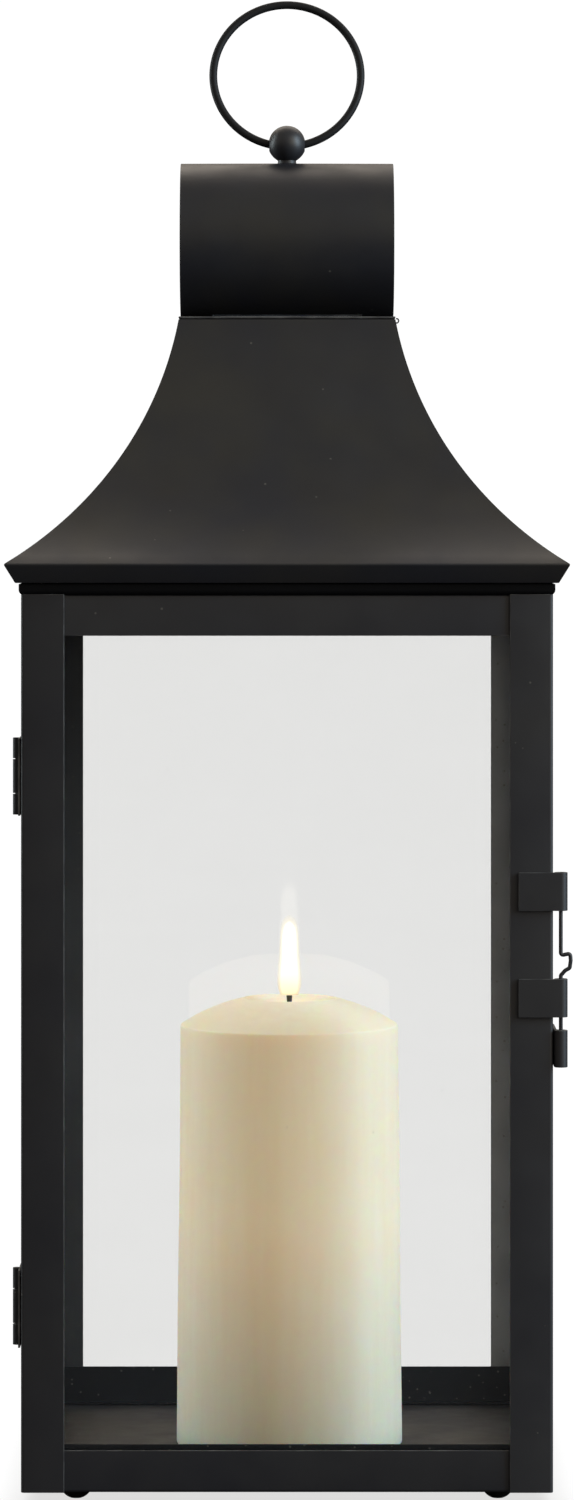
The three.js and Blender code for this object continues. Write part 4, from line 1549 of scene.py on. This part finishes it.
@dataclass
class PillarCandle:
    """Flameless pillar candle: hollow wax shell, wick, lit flame tip and the battery parts below."""

    shoulder: float = 9.0
    taper: float = 1.35
    corner: float = 0.7
    dome_radius: float = 68.0
    pool: float = 15.5
    pool_depth: float = 1.9
    foot_round: float = 1.2
    sides: int = 180
    wick: float = 1.0
    bore: float = 1.35
    cup: float = 30.3
    fit: float = 0.3
    sunk: float = 0.11
    flame_levels: tuple[float, ...] = (0.0, 0.05, 0.12, 0.2, 0.35, 0.5, 0.64, 0.8, 0.9, 0.96, 1.0)
    flame_radii: tuple[float, ...] = (3.0, 3.6, 4.0, 4.08, 3.85, 3.45, 3.3, 3.1, 2.6, 1.7, 0.0)
    flame_recess: float = 1.25
    flame_root: tuple[float, float, float] = (1.0, 0.78, 0.45)
    flame_fade: tuple[float, float] = (0.45, 0.62)

    def build(self, finishes: Finishes) -> None:
        """Makes the wax, the wick and the flame, and dresses the battery parts.

        Args:
            finishes: The lantern's finishes.
        """
        low, high = node_box("candle_wax")
        middle = (low + high) / 2
        centre = (float(middle[0]), float(middle[1]))
        self.wax(low, high, centre)
        self.make_wick(centre, finishes)
        self.flame(centre)
        dress = {
            "candle_battery_cup": finishes.white,
            "candle_battery_cover": finishes.white,
            "candle_switch": finishes.black,
            "battery_left": finishes.jacket,
            "battery_right": finishes.jacket,
            "candle_led": finishes.lens,
        }
        for node, finish in dress.items():
            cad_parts[node].material_slots[0].material = finish

    def wax(self, low: np.ndarray, high: np.ndarray, centre: tuple[float, float]) -> None:
        """Turns the wax, with a soft foot, a slight taper, a domed shoulder and a shallow pool.

        The shoulder is a flat arc from a softened corner to the rim of the pool, and the side is sunk a
        little and wanders by two sines of the angle and height, as poured wax does.

        Args:
            low: Lowest corner of the wax.
            high: Highest corner of the wax.
            centre: x and y of its axis.
        """
        radius = (high[0] - low[0]) / 2
        base, top = low[2], high[2]
        side_top = top - self.shoulder
        foot = arc((radius - self.foot_round, base + self.foot_round), self.foot_round, -90.0, 0.0, 6)
        side = np.linspace(foot[-1], (radius - self.taper, side_top), 40)[1:-1]
        rim, corner = np.array([self.pool, top]), np.array([radius - self.taper, side_top])
        dome = arc_between(rim, corner, self.dome_radius, 24)[::-1]
        shoulder = rounded([tuple(side[-1]), tuple(corner), tuple(dome[3])], self.corner, 6)[1:-1]
        dome = np.vstack([shoulder, dome[3:]])
        dish = np.linspace(0.0, 1.0, 10)[1:]
        drop = self.pool_depth * dish**0.6 * (2 - dish**0.6)
        pool = np.stack([self.pool - (self.pool - self.bore) * dish, dome[-1, 1] - drop], axis=1)
        cup_top = node_box("candle_battery_cup")[1][2] + self.fit
        inside = [
            [self.bore, cup_top],
            [self.cup, cup_top],
            [self.cup, base + self.fit],
            [self.cup + self.fit, base],
        ]
        profile = np.vstack([foot, side, dome, pool, inside])
        grid = turned(profile, self.sides, centre)
        angle = np.linspace(0.0, 2 * math.pi, self.sides, endpoint=False)[None, :]
        rise = profile[:, 1][:, None]
        ripple = 0.06 * np.sin(3 * angle + rise / 21) + 0.05 * np.sin(7 * angle - rise / 13)
        outside = (profile[:, 0] > self.cup + 1)[:, None]
        spoke = np.stack([np.cos(angle), np.sin(angle), 0 * angle], axis=-1)
        grid = grid - ((self.sunk + ripple) * outside)[..., None] * spoke
        place = Place("candle", "ivory_wax", ("candle_wax",))
        solid_piece("pillar_wax", grid, place, [IvoryWax().make()], wrap_rows=True)

    def make_wick(self, centre: tuple[float, float], finishes: Finishes) -> None:
        """Makes the moulded wick, a little square in section with a flat charred top.

        Args:
            centre: x and y of its axis.
            finishes: The lantern's finishes.
        """
        low, high = node_box("candle_wick")
        z = np.array([low[2], high[2] - 2.2, high[2] - 0.9, high[2] - 0.15, high[2], high[2]])
        radius = self.wick * np.array([0.85, 0.85, 0.92, 1.0, 0.9, 0.0])
        grid = turned(np.stack([radius, z], axis=1), 24, centre)
        place = Place("candle", "black_plastic", ("candle_wick",))
        solid_piece("moulded_wick", grid, place, [finishes.black])

    def flame(self, centre: tuple[float, float]) -> None:
        """Makes the flame tip: a bright core inside two softer shells.

        Each is turned from one outline, radii at shares of the height, which a layer's scale narrows.
        Below, all three stand round the lamp in a shared recess.

        Args:
            centre: x and y of its axis.
        """
        low, high = node_box("candle_flame")
        led_high = node_box("candle_led")[1]
        share = np.sin(np.linspace(0.0, math.pi / 2, 49))
        outline = np.interp(share, self.flame_levels, self.flame_radii)
        recess = self.flame_recess
        ceiling = led_high[2] + 0.35
        fade, fade_from = self.flame_fade
        layers = (
            ("flame_halo", 1.0, 0.35, (1.0, 0.93, 0.76), 1.12),
            ("flame_shell", 0.9, 0.6, (1.0, 0.94, 0.78), 1.3),
            ("flame_core", 0.76, 0.97, (1.0, 0.93, 0.8), 2.4),
        )
        for name, scale, cover, colour, strength in layers:
            base = low[2] + (1 - scale) * 1.5
            rise = (high[2] - low[2]) * (1 - (1 - scale) * 0.4)
            line = np.stack([outline * scale, base + rise * share], axis=1)
            inside = [[0.0, ceiling], [recess, ceiling], [recess, base]]
            grid = turned(np.vstack([inside, line]), 48, centre)
            light = FlameLight(
                f"{name}_light",
                base * MM,
                (base + rise) * MM,
                self.flame_root,
                colour,
                strength,
                (cover, cover * fade),
                fade_from,
            ).make()
            solid_piece(name, grid, Place("candle", "flame_glow", ("candle_flame",)), [light])


# ---------------------------------------------------------------------------------------------------
# Studio


@dataclass(frozen=True)
class Softbox:
    """A large soft lamp, aimed at a point."""

    name: str
    place: tuple[float, float, float]
    aim: tuple[float, float, float]
    size: tuple[float, float]
    power: float
    colour: tuple[float, float, float]

    def hang(self) -> None:
        """Adds the lamp to the scene."""
        lamp = bpy.data.lights.new(self.name, "AREA")
        lamp.shape = "RECTANGLE"
        lamp.size, lamp.size_y = self.size
        lamp.energy = self.power
        lamp.color = self.colour
        holder = bpy.data.objects.new(self.name, lamp)
        holder.location = self.place
        way = Vector(self.aim) - Vector(self.place)
        holder.rotation_euler = way.to_track_quat("-Z", "Y").to_euler()
        holder.visible_camera = False
        bpy.context.scene.collection.objects.link(holder)


@dataclass
class Studio:
    """Pale floor, white surroundings, soft lamps and the camera."""

    lens: float = 137.06
    distance: float = 1.931
    eye: float = 0.3307
    rise: float = -0.178
    floor_half: float = 30.0
    white_strength: float = 1.05
    dim_colour: tuple[float, float, float] = (1.0, 0.88, 0.72)
    dim_strength: float = 0.39
    lamps: tuple[Softbox, ...] = (
        Softbox("rear_overhead", (0.0, 1.1, 1.8), (0.0, 0.0, 0.4), (2.2, 1.2), 16.5, (1.0, 0.89, 0.78)),
        Softbox("front_overhead", (0.0, -1.4, 2.0), (0.0, 0.0, 0.3), (2.6, 1.6), 1.5, (0.7, 0.85, 1.0)),
        Softbox("left_wall", (-1.74, 0.47, 0.9), (0.0, 0.0, 0.2), (0.7, 1.4), 25.0, (0.85, 0.97, 1.0)),
        Softbox("right_wall", (1.69, -0.62, 0.9), (0.0, 0.0, 0.2), (0.7, 1.4), 40.0, (0.66, 0.85, 1.0)),
        Softbox("right_front", (1.2, -1.3, 0.95), (0.0, 0.0, 0.25), (1.2, 1.6), 12.0, (1.0, 0.88, 0.66)),
    )

    def build(self) -> None:
        """Sets the camera, the lamps, the floor and the surroundings."""
        scene = bpy.context.scene
        scene.view_settings.view_transform = "Standard"
        self.camera(scene)
        for lamp in self.lamps:
            lamp.hang()
        self.floor()
        self.surroundings(scene)

    def camera(self, scene: bpy.types.Scene) -> None:
        """Places the camera.

        Args:
            scene: The scene that it belongs to.
        """
        camera = bpy.data.cameras.new("studio_camera")
        camera.lens = self.lens
        camera.sensor_width = 36.0
        camera.shift_y = self.rise
        holder = bpy.data.objects.new("studio_camera", camera)
        holder.location = (0.0, -self.distance, self.eye)
        holder.rotation_euler = (math.pi / 2, 0.0, 0.0)
        scene.collection.objects.link(holder)
        scene.camera = holder

    def floor(self) -> None:
        """Lays a large pale floor that stays near white, with a soft contact shadow painted from ambient
        occlusion, and throws back little.
        """
        half = self.floor_half / MM
        outline = np.array([[-half, -half, 0.0], [half, -half, 0.0], [half, half, 0.0], [-half, half, 0.0]])
        nodes = Nodes("pale_floor")
        # Painted shadow: the emission darkens where ambient occlusion finds the lantern close by.
        open_sky = nodes.add("ShaderNodeAmbientOcclusion", {"Distance": 0.018}).outputs["AO"]
        paper = nodes.blend(nodes.noise(8.0, 3.0), (1.02, 1.02, 1.02), (1.05, 1.05, 1.05))
        tone = nodes.blend(nodes.ranged(open_sky, 0.2, 0.9, 0.0, 1.0), (0.72, 0.715, 0.71), paper)
        bright = nodes.add("ShaderNodeEmission", {"Color": tone, "Strength": 1.0})
        dim = nodes.add("ShaderNodeBsdfDiffuse", {"Color": solid((0.07, 0.07, 0.08))})
        seen = nodes.add("ShaderNodeLightPath").outputs["Is Camera Ray"]
        mixed = nodes.add("ShaderNodeMixShader", {0: seen, 1: dim.outputs[0], 2: bright.outputs[0]})
        floor = make_mesh("pale_floor", outline, [[0, 1, 2, 3]], [nodes.done(mixed)])

    def surroundings(self, scene: bpy.types.Scene) -> None:
        """Makes the surroundings white to the eye, and dim and warm to everything else.

        Args:
            scene: The scene that they belong to.
        """
        world = bpy.data.worlds.new("studio")
        scene.world = world
        world.use_nodes = True
        tree = world.node_tree
        tree.nodes.clear()
        path = tree.nodes.new("ShaderNodeLightPath")
        mix = tree.nodes.new("ShaderNodeMixShader")
        output = tree.nodes.new("ShaderNodeOutputWorld")
        tree.links.new(path.outputs["Is Camera Ray"], mix.inputs[0])
        shades = ((self.dim_colour, self.dim_strength), ((1.0, 1.0, 1.0), self.white_strength))
        for socket, (colour, strength) in zip(mix.inputs[1:], shades):
            shade = tree.nodes.new("ShaderNodeBackground")
            shade.inputs[0].default_value = solid(colour)
            shade.inputs[1].default_value = strength
            tree.links.new(shade.outputs[0], socket)
        tree.links.new(mix.outputs[0], output.inputs[0])


def main() -> None:
    """Builds the lantern round its frame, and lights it."""
    logging.basicConfig(level=logging.INFO, format="%(name)s %(message)s")
    finishes = Finishes()
    for part in (Cage(), Door(), Hinges(), Latch(), Roof(), Chimney(), Handle(), PillarCandle()):
        LOG.info("building %s", type(part).__name__)
        part.build(finishes)
    Studio().build()


if __name__ == "__main__":
    main()
